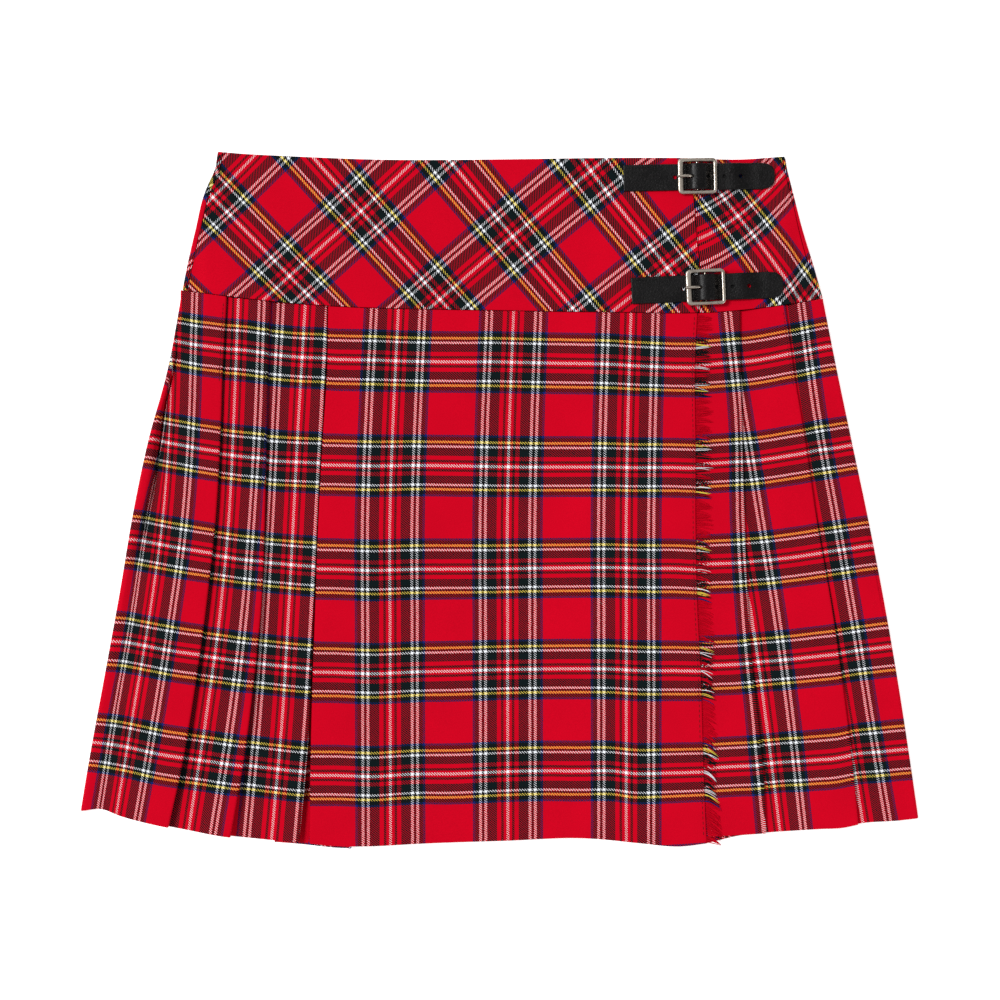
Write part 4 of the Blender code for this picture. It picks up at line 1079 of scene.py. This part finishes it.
def flat_apron():
    """The over-apron, from its fringed edge to its folded one, and back under to the hidden
    seam of the inverted pleat."""
    share = stations(ROW_COUNT, SKIRT_LENGTH)
    hem = FRONT_HEM_ROWS
    fold = line_place("apron_fold", share, hem)
    seam = line_place("fold_l1", share, hem) + INVERTED_LAP + SEAM_GAP
    threads = panel_threads("apron")
    lift = lift_at("apron", fold, share, hem)
    walk = Walk(line_place("apron_edge", share, hem) - 0.1, height(6))
    walk.panels[0] = threads
    for (place, layer), steps in zip(reversed(OVER_LAYER_ROWS[2:6]), (22, 14, 36, 10)):
        walk.run(place, height(layer), steps, panel=threads)
    start = walk.xs[-1]
    walk.run(fold + FOLD_START, steps=18, panel=threads,
             shape=lambda x: height(5) + lift * blend(x, start, fold))
    walk.fold(fold, height(4) + lift, side=-1.0, panel=threads)
    under = walk.xs[-1]
    turn = UNDER_EDGE - FOLD_CLEARANCE
    walk.run(turn - FOLD_START, steps=6,
             shape=lambda x: height(4) + lift * ease(1.0 - (x - under) / 12.0))
    walk.fold(turn, height(3))
    walk.run(seam, steps=4)
    places, panels = skirt_grid(walk, share, hem, APRON_CREASES, slice(-17, None))
    return "apron_over_cloth", places, spread_threads(places, panels, backwards=True)


def back_pleats():
    """The back pleats, face down, between the two side turns."""
    share = stations(BACK_ROW_COUNT, SKIRT_LENGTH)
    left = line_place("side_left", share, FRONT_HEM_ROWS) + BACK_TURN + SEAM_GAP
    right = line_place("side_right", share, RIGHT_HEM_ROWS) - BACK_TURN - SEAM_GAP
    panel = (right - left) / BACK_PLEATS
    slope = 5.0 + 4.0 * share
    cloth_step = float(np.mean(panel)) * (1.0 + 2.0 * PLEAT_SHARE) + 4.0

    def threads_of(number, edge):
        def at(x, y):
            v = 4 * WEFT_REPEAT + BACK_LAST_GROUP - (y - read(BACK_HEM_ROWS, x))
            return number * cloth_step + x - edge, v
        return at

    walk = Walk(left, height(0))
    threads = threads_of(0, left)
    for pleat in range(BACK_PLEATS):
        edge = left + panel * (pleat + BACK_FOLD_SHARE)
        far = edge + PLEAT_SHARE * panel
        walk.run(edge - FOLD_CLEARANCE - slope, steps=7, panel=threads)
        walk.run(edge - FOLD_CLEARANCE, height(2), steps=5)
        walk.run(far - FOLD_START, steps=3)
        walk.fold(far, height(1), steps=6)
        walk.run(edge + FOLD_START, steps=3)
        threads = threads_of(pleat + 1, edge)
        walk.fold(edge, height(0), steps=6, side=-1.0)
    walk.run(right, steps=4, panel=threads)
    places, panels = skirt_grid(walk, share, BACK_HEM_ROWS, BACK_CREASES)
    return "skirt_back_cloth", places, spread_threads(places, panels, backwards=False)


# ---- the yoke's pieces --------------------------------------------------------------------------

def yoke_grid(left, right, share, waist_layer, layer_rows, crossings, steps):
    """A front yoke's places and threads, between its two ends."""
    x = left[:, None] + (right - left)[:, None] * stations(steps, 320.0)[None, :]
    y = yoke_height(x, share[:, None])
    z = yoke_rise(x, share[:, None], waist_layer, layer_rows)
    fade = ease(share / 0.1) * ease((1.0 - share) / 0.12)
    z = z + creases(YOKE_CREASES, x, y) * fade[:, None]
    # the seam allowance under the lower edge holds it a little proud, over its last 4 mm
    z = z + (0.35 * ease((share - 0.955) / 0.03))[:, None]
    return np.stack([x, y, z], axis=-1), np.stack(bias_threads(crossings)(x, y), axis=-1)


def over_yoke():
    """The over-apron's yoke, cut on the bias."""
    share = stations(YOKE_ROW_COUNT, YOKE_LENGTH)
    seam = side_seam("left", share, SIDE_STRIP_LEFT, OVER_WAIST_LAYER, OVER_LAYER_ROWS)[0]
    return "yoke_over_cloth", *yoke_grid(
        seam + SEAM_GAP, yoke_place("over_edge", share), share, OVER_WAIST_LAYER, OVER_LAYER_ROWS,
        OVER_CROSSINGS, 120)


def under_yoke():
    """The under-apron's yoke, cut on the bias."""
    share = stations(YOKE_ROW_COUNT, YOKE_LENGTH)
    seam = side_seam("right", share, SIDE_STRIP_RIGHT, UNDER_WAIST_LAYER, UNDER_LAYER_ROWS)[0]
    return "yoke_under_cloth", *yoke_grid(
        np.full_like(share, UNDER_EDGE), seam - SEAM_GAP, share, UNDER_WAIST_LAYER,
        UNDER_LAYER_ROWS, UNDER_CROSSINGS, 110)


def back_yoke():
    """The back yoke, flat on the floor, turned up at both sides to meet the front yokes."""
    share = stations(YOKE_ROW_COUNT, YOKE_LENGTH)
    left, right = yoke_place("left", share), yoke_place("right", share)
    left_end, left_front = side_seam("left", share, SIDE_STRIP_LEFT, OVER_WAIST_LAYER,
                                     OVER_LAYER_ROWS)
    right_end, right_front = side_seam("right", share, SIDE_STRIP_RIGHT, UNDER_WAIST_LAYER,
                                       UNDER_LAYER_ROWS)
    walk = Walk(left_end, left_front)
    walk.fold(left, height(BACK_LAYER), steps=12, side=-1.0)
    walk.run(right - 6.0, steps=100)
    walk.fold(right, right_front, steps=12)
    walk.run(right_end, steps=2)
    xs, zs, _ = walk.rimmed()
    ys = yoke_height(xs, share[:, None])
    flat = ease((xs - left[:, None]) / 30.0) * ease((right[:, None] - xs) / 30.0)
    zs = zs + np.maximum(creases(YOKE_CREASES, xs, ys), 0.0) * flat
    # its threads follow its own length of cloth, cut on the bias. The under-yoke's pattern goes
    # on round the right side; at the left seam another piece of cloth begins.
    length = run_length(np.hypot(np.diff(xs, axis=1), np.diff(zs, axis=1)))
    middle = int(np.argmin(np.abs(xs[0])))
    across = length - length[:, middle:middle + 1] + xs[:, middle:middle + 1]
    along = length / length[:, -1:]
    row = int(np.argmin(np.abs(ys[:, 4] - BACK_YOKE_CORNER[0])))
    meeting = bias_threads(UNDER_CROSSINGS)(xs[:, -1], ys[:, -1])
    threads = []
    for raw, corner, met, repeat in zip(
            (-(across + ys) / math.sqrt(2), (across - ys) / math.sqrt(2)),
            BACK_YOKE_CORNER[1:], meeting, (WARP_REPEAT, WEFT_REPEAT)):
        start = corner - raw[row, 4]
        drift = (met - raw[:, -1]) - start
        drift -= repeat * np.round(drift.mean() / repeat)
        threads.append(raw + start + drift[:, None] * along)
    return "yoke_back_cloth", np.stack([xs, ys, zs], axis=-1), np.stack(threads, axis=-1)


# ---- fringe and sewing --------------------------------------------------------------------------

def yarn_mesh(name, lines, radii, threads, material):
    """Square-ringed yarns about lines of places, all in one piece, closed at both ends. Lines
    are yarns by points by x, y and z; radii are yarns by points."""
    count, points = lines.shape[:2]
    ahead = np.gradient(lines, axis=1)
    ahead /= np.linalg.norm(ahead, axis=2, keepdims=True)
    beside = np.cross(ahead, np.array([0.0, 0.0, 1.0]))
    beside /= np.maximum(np.linalg.norm(beside, axis=2, keepdims=True), 1e-6)
    above = np.cross(beside, ahead)
    rings = [lines + radii[:, :, None] * way for way in (beside, above, -beside, -above)]
    verts = np.stack(rings, axis=2).reshape(-1, 3) * MM
    number = np.arange(count * points * 4).reshape(count, points, 4)
    turned = np.roll(number, -1, axis=2)
    sides = np.stack([number[:, :-1], number[:, 1:], turned[:, 1:], turned[:, :-1]], -1)
    quads = np.concatenate([sides.reshape(-1, 4), number[:, 0].reshape(-1, 4),
                            number[:, -1, ::-1].reshape(-1, 4)])
    if threads is not None:
        threads = np.repeat(threads.reshape(-1, 2), 4, axis=0)
    return mesh_piece(name, verts, quads, material, threads)


def loose_yarns(fringe, material):
    """The over-apron's frayed edge: its weft yarns, bare past the last warp, lying in tufts."""
    chance = random.Random(11)
    share = np.linspace(0.0, 1.0, 40)
    edge = line_place("apron_edge", share, FRONT_HEM_ROWS)
    edge_y = skirt_height(edge, share, FRONT_HEM_ROWS)
    last = float(edge_y[-1]) + 0.3
    count, points = fringe.strands, 9
    along = np.linspace(0.0, 1.0, points)
    lines = np.zeros((count, points, 3))
    radii = np.zeros((count, points))
    tuft_end, tuft_y, tuft_lean, tuft_reach = 0, 0.0, 0.0, 1.0
    pitch = (FRINGE_START - last) / count
    # each yarn's own place, tuft, reach, droop, lean, bow, rise and thickness, drawn in this order
    for yarn in range(count):
        y = FRINGE_START - pitch * (yarn + chance.uniform(0.2, 0.8))
        if yarn >= tuft_end:
            size = chance.randint(2, 6)
            tuft_end = yarn + size
            tuft_y = y - pitch * size / 2
            tuft_lean = chance.uniform(-1.2, 1.2)
            tuft_reach = chance.uniform(0.86, 1.08)
        x = float(np.interp(-y, -edge_y, edge)) + YARN_GAP
        reach = float(read(FRINGE_ROWS, y, 1)) * tuft_reach * chance.uniform(0.86, 1.04)
        droop = float(read(FRINGE_ROWS, y, 2)) * chance.uniform(0.75, 1.25)
        gather = (tuft_y - y) * 0.6 + tuft_lean + chance.uniform(-0.5, 0.5)
        bow = chance.uniform(-0.4, 0.4)
        rise = chance.uniform(-0.15, 0.5)
        lines[yarn, :, 0] = x + reach * along
        lines[yarn, :, 1] = (y + gather * along**1.4 - droop * along**1.6
                             + bow * np.sin(math.pi * along))
        lines[yarn, :, 2] = (height(6) - 0.15 * along - 0.25 * ease(along * 1.4)
                             + rise * np.sin(math.pi * along) + chance.uniform(-0.12, 0.12))
        thick = fringe.yarn / MM / 2 * chance.uniform(0.75, 1.15)
        radii[yarn] = thick * (0.8 + 0.35 * np.sin(math.pi * along)) * (1.0 - 0.75 * along**4)
    _, v = panel_threads("apron")(np.full(count, 127.0), lines[:, 0, 1])
    threads = np.stack([lines[:, :, 0], np.repeat(v[:, None], points, axis=1)], axis=-1)
    return yarn_mesh("fringe_yarns", lines, radii, threads, material)


def on_cloth(name, xs, ys):
    """Points on the upper face of a cloth piece, above places given by x and y."""
    places, thickness = LAID[name]
    flat = places.reshape(-1, 3)
    found = []
    for x, y in zip(xs, ys):
        near = np.hypot(flat[:, 0] - x, (flat[:, 1] - y) * 0.4) < 1.9
        if not near.any():
            raise RuntimeError(f"no cloth of {name} lies under a stitch at {x:.1f}, {y:.1f}")
        found.append(flat[near, 2].max() + thickness / 2)
    return np.stack([xs, ys, found], axis=-1)


def sew(points, stitch, gap, radius):
    """Stitches along a line of points: each one comes up, lies on the face and goes down."""
    length = run_length(np.linalg.norm(np.diff(points, axis=0), axis=1))
    sunk = np.array([-1.4, 0.1, 0.75, 0.95, 0.75, 0.1, -1.4]) * radius
    shape = np.linspace(0.0, 1.0, len(sunk))
    lines = []
    for number in range(int((length[-1] - gap) / (stitch + gap))):
        at = gap + number * (stitch + gap) + stitch * shape
        line = np.stack([np.interp(at, length, points[:, axis]) for axis in range(3)], axis=-1)
        line[:, 2] += sunk
        lines.append(line)
    return np.array(lines)


def seam_stitches(material):
    """Sewing that shows on the skirt: the row that holds the apron's frayed edge, and the rows
    that hold the pleats flat below the hip seam."""
    lines = []
    for line, inset, name, hem, part, stitch, gap in (
            ("apron_edge", 1.8, "apron_over_cloth", FRONT_HEM_ROWS, (0.004, 0.994, 200), 2.3, 1.0),
            ("fold_l2", 1.9, "skirt_left_cloth", FRONT_HEM_ROWS, (0.012, 0.165, 40), 2.2, 0.5),
            ("fold_l3", 1.9, "skirt_left_cloth", FRONT_HEM_ROWS, (0.012, 0.165, 40), 2.2, 0.5),
            ("fold_r2", 1.9, "apron_under_cloth", RIGHT_HEM_ROWS, (0.012, 0.165, 40), 2.2, 0.5)):
        share = np.linspace(*part)
        x = line_place(line, share, hem) - inset
        lines.append(sew(on_cloth(name, x, skirt_height(x, share, hem)), stitch, gap,
                         SEAM_THREAD))
    lines = np.concatenate(lines)
    radii = np.full(lines.shape[:2], SEAM_THREAD)
    return yarn_mesh("seam_stitches", lines, radii, None, material)


# ---- straps and buckles -------------------------------------------------------------------------

def fastening_place(x, y, tilt, layer):
    """Where a fastening's own frame lies on the over-yoke."""
    face = height(layer) + PACKED_CLOTH / 2
    return (Matrix.Translation(Vector((x, y, face)) * MM)
            @ Matrix.Rotation(math.radians(tilt), 4, "Z"))


def settle(piece, place, material):
    """Puts a piece that was modelled in its own frame in its place, in its mesh."""
    piece.data.transform(place)
    piece.data.materials.clear()
    piece.data.materials.append(material)
    return piece


def only(piece):
    """Selects one object and nothing else."""
    bpy.ops.object.select_all(action="DESELECT")
    piece.select_set(True)
    bpy.context.view_layer.objects.active = piece


def with_boolean(piece, tool, operation):
    """Applies a boolean with another object, which is then removed."""
    change = piece.modifiers.new(operation.lower(), "BOOLEAN")
    change.operation = operation
    change.solver = "EXACT"
    change.object = tool
    only(piece)
    bpy.ops.object.modifier_apply(modifier=change.name)
    bpy.data.objects.remove(tool, do_unlink=True)


def strap_line(u):
    """The middle of the strap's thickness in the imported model, at places along it."""
    return read(STRAP_ROWS, u, 2) + PACKED_STRAP / 2


def strap(fastening, name, material, place):
    """A leather strap with rounded edges, pierced by five holes."""
    thick = fastening.strap_thickness / MM
    bevel = fastening.strap_bevel / MM
    first, last = STRAP_ROWS[0][0], STRAP_ROWS[-1][0]
    ends = np.array([0.0, 0.08, 0.22, 0.45])
    u = np.concatenate([first + ends, np.linspace(first + 0.9, last - 0.9, 128),
                        last - ends[::-1]])
    w = strap_line(u)
    slope = np.gradient(w, u)
    lean = np.sqrt(1.0 + slope * slope)
    inset = np.maximum(bevel - np.minimum(u - first, last - u), 0.0)
    inset = bevel - np.sqrt(np.maximum(bevel * bevel - inset * inset, 0.0))
    half = read(STRAP_ROWS, u, 1) - inset
    deep = thick / 2 - inset
    flat = np.linspace(1.0, -1.0, 13)
    corner = [(1.0 - math.sin(angle), 1.0 - math.cos(angle))
              for angle in (math.radians(22.5), math.radians(45.0), math.radians(67.5))]
    rings = []
    for at, middle, rise, tilt, b, d in zip(u, w, slope, lean, half, deep):
        r = min(bevel, d * 0.9)
        # half of the section, over the face and down one side. The other half is it turned round
        ring = [(share * (b - r), d) for share in flat]
        ring += [(r * out - b, d - r * down) for out, down in corner]
        ring += [(-b, d - r), (-b, r - d)]
        ring += [(r * down - b, r * out - d) for out, down in corner]
        ring += [(-side, -up) for side, up in ring]
        rings.append([((at - rise / tilt * up) * MM, (STRAP_SHIFT + side) * MM,
                       (middle + up / tilt) * MM) for side, up in ring])
    sides = len(rings[0])
    faces = [tuple(reversed(range(sides))),
             tuple(range((len(rings) - 1) * sides, len(rings) * sides))]
    for ring in range(len(rings) - 1):
        for side in range(sides):
            turn = (side + 1) % sides
            faces.append((ring * sides + side, ring * sides + turn,
                          (ring + 1) * sides + turn, (ring + 1) * sides + side))
    mesh = bpy.data.meshes.new(name)
    mesh.from_pydata([vert for ring in rings for vert in ring], [], faces)
    piece = link(name, mesh)
    only(piece)
    bpy.ops.object.mode_set(mode="EDIT")
    bpy.ops.mesh.select_all(action="SELECT")
    bpy.ops.mesh.remove_doubles(threshold=0.002 * MM)
    bpy.ops.mesh.normals_make_consistent(inside=False)
    bpy.ops.object.mode_set(mode="OBJECT")
    for number, hole in enumerate(HOLE_PLACES):
        bpy.ops.object.select_all(action="DESELECT")
        bpy.ops.mesh.primitive_cylinder_add(
            vertices=28, radius=fastening.hole_radius, depth=14 * MM,
            location=(hole * MM, STRAP_SHIFT * MM, 3 * MM))
        punch = bpy.context.active_object
        if number == PRONG_HOLE:
            punch.scale.x = PRONG_HOLE_STRETCH
        with_boolean(piece, punch, "DIFFERENCE")
    bpy.ops.object.shade_smooth_by_angle(angle=math.radians(38.0))
    return settle(piece, place, material)


def strap_stitches(name, material, place):
    """The square of stitches, crossed corner to corner, that sews the strap to the yoke."""
    near, far, out = STITCH_SQUARE
    corners = ((near, -out), (far, -out), (far, out), (near, out), (near, -out), (far, out),
               (near, out), (far, -out))
    lines = []
    for (u0, v0), (u1, v1) in zip(corners, corners[1:]):
        share = np.linspace(0.0, 1.0, 24)
        u = u0 + (u1 - u0) * share
        v = STRAP_SHIFT + v0 + (v1 - v0) * share
        top = strap_line(u) + PACKED_STRAP / 2
        lines.append(sew(np.stack([u, v, top], axis=-1), 1.5, 0.55, STRAP_THREAD))
    lines = np.concatenate(lines)
    radii = np.full(lines.shape[:2], STRAP_THREAD)
    return settle(yarn_mesh(name, lines, radii, None, material), place, material)


def buckle(fastening, name, material, place):
    """A square buckle: a frame with rounded corners and one wider bar, and a round bar across
    its middle."""
    wide, tall = fastening.frame_width, fastening.frame_height
    bar, thick = fastening.frame_bar, fastening.frame_thickness
    bpy.ops.object.select_all(action="DESELECT")
    bpy.ops.mesh.primitive_plane_add(size=1.0, location=(0.0, 0.0, 0.0))
    piece = bpy.context.active_object
    piece.name = piece.data.name = name
    bpy.ops.object.mode_set(mode="EDIT")
    bpy.ops.transform.resize(value=(wide, tall, 1.0))
    bpy.ops.mesh.bevel(offset=3.0 * MM, segments=5, affect="VERTICES")
    bpy.ops.mesh.inset(thickness=bar)
    bpy.ops.mesh.delete(type="FACE")
    bpy.ops.object.mode_set(mode="OBJECT")
    for vert in piece.data.vertices:
        inner = abs(vert.co.x) < wide / 2 - bar * 0.6 and abs(vert.co.y) < tall / 2 - bar * 0.6
        vert.select = inner and vert.co.x < 0
    bpy.ops.object.mode_set(mode="EDIT")
    bpy.ops.mesh.select_mode(type="VERT")
    bpy.ops.transform.translate(value=(fastening.frame_left_bar - bar, 0.0, 0.0))
    bpy.ops.mesh.select_all(action="SELECT")
    bpy.ops.mesh.extrude_region_move(TRANSFORM_OT_translate={"value": (0.0, 0.0, thick)})
    bpy.ops.mesh.select_all(action="SELECT")
    bpy.ops.mesh.normals_make_consistent(inside=False)
    bpy.ops.transform.translate(value=(0.0, 0.0, FRAME_LIFT * MM))
    bpy.ops.object.mode_set(mode="OBJECT")
    rounded = piece.modifiers.new("rounded bars", "BEVEL")
    rounded.width = 0.85 * MM
    rounded.segments = 4
    rounded.limit_method = "ANGLE"
    rounded.angle_limit = math.radians(50.0)
    bpy.ops.object.modifier_apply(modifier=rounded.name)
    bpy.ops.object.select_all(action="DESELECT")
    bpy.ops.mesh.primitive_cylinder_add(vertices=20, radius=BAR_RADIUS * MM, depth=tall - bar,
                                        location=(0.0, 0.0, BAR_HEIGHT * MM),
                                        rotation=(math.pi / 2, 0.0, 0.0))
    with_boolean(piece, bpy.context.active_object, "UNION")
    bpy.ops.object.shade_smooth_by_angle(angle=math.radians(40.0))
    return settle(piece, place, material)


def prong(name, material, place):
    """The prong: a wire hooked round the centre bar, flattened where its tip rests."""
    radius = BAR_RADIUS + PRONG_AIR + PRONG_RADIUS
    line = []
    for step in range(HOOK_STEPS + 1):
        angle = math.radians(HOOK_START + HOOK_STEP * step)
        line.append((radius * math.cos(angle), BAR_HEIGHT + radius * math.sin(angle)))
    line.extend(PRONG_SHAFT)
    curve = bpy.data.curves.new(name, "CURVE")
    curve.dimensions = "3D"
    curve.bevel_depth = PRONG_RADIUS * MM
    curve.bevel_resolution = 4
    curve.use_fill_caps = True
    spline = curve.splines.new("NURBS")
    spline.points.add(len(line) - 1)
    spline.order_u = 3
    spline.use_endpoint_u = True
    spline.resolution_u = 6
    for point, (u, w) in zip(spline.points, line):
        point.co = (u * MM, 0.0, w * MM, 1.0)
    spline.points[-1].radius = 0.8
    only(link(name, curve))
    bpy.ops.object.convert(target="MESH")
    piece = bpy.context.active_object
    for vert in piece.data.vertices:
        vert.co.y *= PRONG_FLATNESS
    bpy.ops.object.shade_smooth_by_angle(angle=math.radians(40.0))
    return settle(piece, place, material)


# ---- operators ----------------------------------------------------------------------------------

def lay_cloth(context, made, node_name):
    """Makes a cloth piece from its grid, in place of its plain solid."""
    cloth = context.scene.kilt_cloth
    name, places, threads = made
    wool = kept("worsted_wool_twill", wool_twill, cloth, False)
    piece = shell(name, places, threads, cloth.thickness / MM, wool)
    finish_piece(piece, "tartan_cloth", node_name)
    return piece


class KILT_OT_stage(bpy.types.Operator):
    """Set the floor, the soft lights and the camera straight above the kilt"""
    bl_idname = "kilt.stage"
    bl_label = "Stage"

    def execute(self, context):
        studio = context.scene.kilt_studio
        bpy.ops.object.select_all(action="DESELECT")
        bpy.ops.mesh.primitive_plane_add(size=9.0, location=(0.0, 0.0, -0.3 * MM))
        floor = context.active_object
        floor.name = floor.data.name = "floor"
        material, _, shader = new_material("matt_paper_floor")
        # lit through from below, as on a light table, so that only a faint shadow shows
        feed(shader, {"Base Color": (*studio.floor, 1.0), "Roughness": 0.95,
                      "Specular IOR Level": 0.0, "Emission Color": (*studio.floor, 1.0),
                      "Emission Strength": studio.table})
        floor.data.materials.append(material)

        world = bpy.data.worlds.new("soft_white_room")
        world.use_nodes = True
        feed(world.node_tree.nodes["Background"],
             {"Color": (1.0, 1.0, 1.0, 1.0), "Strength": studio.air})
        context.scene.world = world

        for name, power, size, place in (("key_light", studio.key, 3.2, (-5.4, 2.0, 9.6)),
                                         ("fill_light", studio.fill, 1.6, (2.4, -1.5, 2.4))):
            light = bpy.data.lights.new(name, "AREA")
            light.shape = "DISK"
            light.size = size
            light.energy = power
            lamp = link(name, light)
            lamp.location = place
            lamp.rotation_euler = (-Vector(place)).to_track_quat("-Z", "Y").to_euler()

        lens = bpy.data.cameras.new("camera")
        lens.lens = studio.focal
        lens.sensor_width = 36.0
        lens.sensor_fit = "HORIZONTAL"
        camera = link("camera", lens)
        distance = studio.view * studio.focal / lens.sensor_width
        camera.location = (0.3 * MM, -0.3 * MM, distance + 4 * MM)
        context.scene.camera = camera
        context.scene.view_settings.view_transform = "Standard"
        # the denoiser takes ribs this fine for noise, and would smooth the twill away
        context.scene.cycles.use_denoising = False
        return {"FINISHED"}


class KILT_OT_back(bpy.types.Operator):
    """Lay the back: its bias yoke and its pleats, face down"""
    bl_idname = "kilt.back"
    bl_label = "Back"

    def execute(self, context):
        lay_cloth(context, back_pleats(), "skirt_back")
        lay_cloth(context, back_yoke(), "yoke_back")
        return {"FINISHED"}


class KILT_OT_pleats(bpy.types.Operator):
    """Lay the left pleats and the under-apron with the right pleats"""
    bl_idname = "kilt.pleats"
    bl_label = "Side pleats"

    def execute(self, context):
        lay_cloth(context, left_pleats(), "skirt_left")
        lay_cloth(context, right_pleats(), "apron_under")
        return {"FINISHED"}


class KILT_OT_apron(bpy.types.Operator):
    """Lay the over-apron with its frayed edge"""
    bl_idname = "kilt.apron"
    bl_label = "Over-apron and fringe"

    def execute(self, context):
        lay_cloth(context, flat_apron(), "apron_over")
        yarn = kept("frayed_worsted_yarn", wool_twill, context.scene.kilt_cloth, True)
        finish_piece(loose_yarns(context.scene.kilt_fringe, yarn), "frayed_yarn", "fringe")
        return {"FINISHED"}


class KILT_OT_yokes(bpy.types.Operator):
    """Lay the two front yokes, cut on the bias"""
    bl_idname = "kilt.yokes"
    bl_label = "Front yokes"

    def execute(self, context):
        lay_cloth(context, under_yoke(), "yoke_under")
        lay_cloth(context, over_yoke(), "yoke_over")
        return {"FINISHED"}


class KILT_OT_sewing(bpy.types.Operator):
    """Sew the rows of stitches that show on the skirt"""
    bl_idname = "kilt.sewing"
    bl_label = "Sewing"

    def execute(self, context):
        if "apron_over_cloth" not in LAID:
            raise RuntimeError("the cloth is laid before it is sewn")
        thread = kept("dark_red_thread", sewing_thread, linear("#3A0A12"))
        finish_piece(seam_stitches(thread), "tartan_cloth")
        return {"FINISHED"}


class KILT_OT_straps(bpy.types.Operator):
    """Make the leather straps, give their tabs the leather, and sew the straps down"""
    bl_idname = "kilt.straps"
    bl_label = "Straps"

    def execute(self, context):
        fastening = context.scene.kilt_fastening
        leather = kept("bridle_leather", bridle_leather, fastening)
        thread = kept("black_thread", sewing_thread, fastening.thread)
        for name, *where in FASTENINGS:
            place = fastening_place(*where)
            piece = strap(fastening, f"leather_strap_{name}", leather, place)
            finish_piece(piece, "strap_leather", f"strap_{name}")
            finish_piece(strap_stitches(f"strap_stitches_{name}", thread, place), "strap_leather")
            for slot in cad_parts[f"tab_{name}"].material_slots:
                slot.material = leather
        return {"FINISHED"}


class KILT_OT_buckles(bpy.types.Operator):
    """Make the buckles and their prongs"""
    bl_idname = "kilt.buckles"
    bl_label = "Buckles"

    def execute(self, context):
        fastening = context.scene.kilt_fastening
        nickel = kept("nickel_plated_zinc", nickel_plate, fastening)
        for name, *where in FASTENINGS:
            place = fastening_place(*where)
            finish_piece(buckle(fastening, f"nickel_buckle_{name}", nickel, place),
                         "buckle_metal", f"buckle_{name}")
            finish_piece(prong(f"nickel_prong_{name}", nickel, place), "buckle_metal",
                         f"prong_{name}")
        return {"FINISHED"}


OPERATORS = (KILT_OT_stage, KILT_OT_back, KILT_OT_pleats, KILT_OT_apron, KILT_OT_yokes,
             KILT_OT_sewing, KILT_OT_straps, KILT_OT_buckles)


class KILT_PT_panel(bpy.types.Panel):
    """The kilt's pieces and their settings"""
    bl_idname = "KILT_PT_panel"
    bl_label = "Tartan mini kilt"
    bl_space_type = "VIEW_3D"
    bl_region_type = "UI"
    bl_category = "Kilt"

    def draw(self, context):
        layout = self.layout
        for operator in OPERATORS:
            layout.operator(operator.bl_idname)
        for group in (context.scene.kilt_cloth, context.scene.kilt_fringe,
                      context.scene.kilt_fastening, context.scene.kilt_studio):
            box = layout.box()
            for name in group.bl_rna.properties.keys():
                if name not in ("rna_type", "name"):
                    box.prop(group, name)


GROUPS = {"kilt_cloth": KiltCloth, "kilt_fringe": KiltFringe, "kilt_fastening": KiltFastening,
          "kilt_studio": KiltStudio}


def register():
    """Adds the settings, operators and panel."""
    for name, group in GROUPS.items():
        bpy.utils.register_class(group)
        setattr(bpy.types.Scene, name, bpy.props.PointerProperty(type=group))
    for kind in (*OPERATORS, KILT_PT_panel):
        bpy.utils.register_class(kind)


def unregister():
    """Takes them away again."""
    for kind in reversed((*OPERATORS, KILT_PT_panel)):
        bpy.utils.unregister_class(kind)
    for name, group in reversed(GROUPS.items()):
        delattr(bpy.types.Scene, name)
        bpy.utils.unregister_class(group)


def main():
    """Builds the kilt."""
    register()
    bpy.ops.kilt.stage()
    bpy.ops.kilt.back()
    bpy.ops.kilt.pleats()
    bpy.ops.kilt.apron()
    bpy.ops.kilt.yokes()
    bpy.ops.kilt.sewing()
    bpy.ops.kilt.straps()
    bpy.ops.kilt.buckles()


if __name__ == "__main__":
    main()
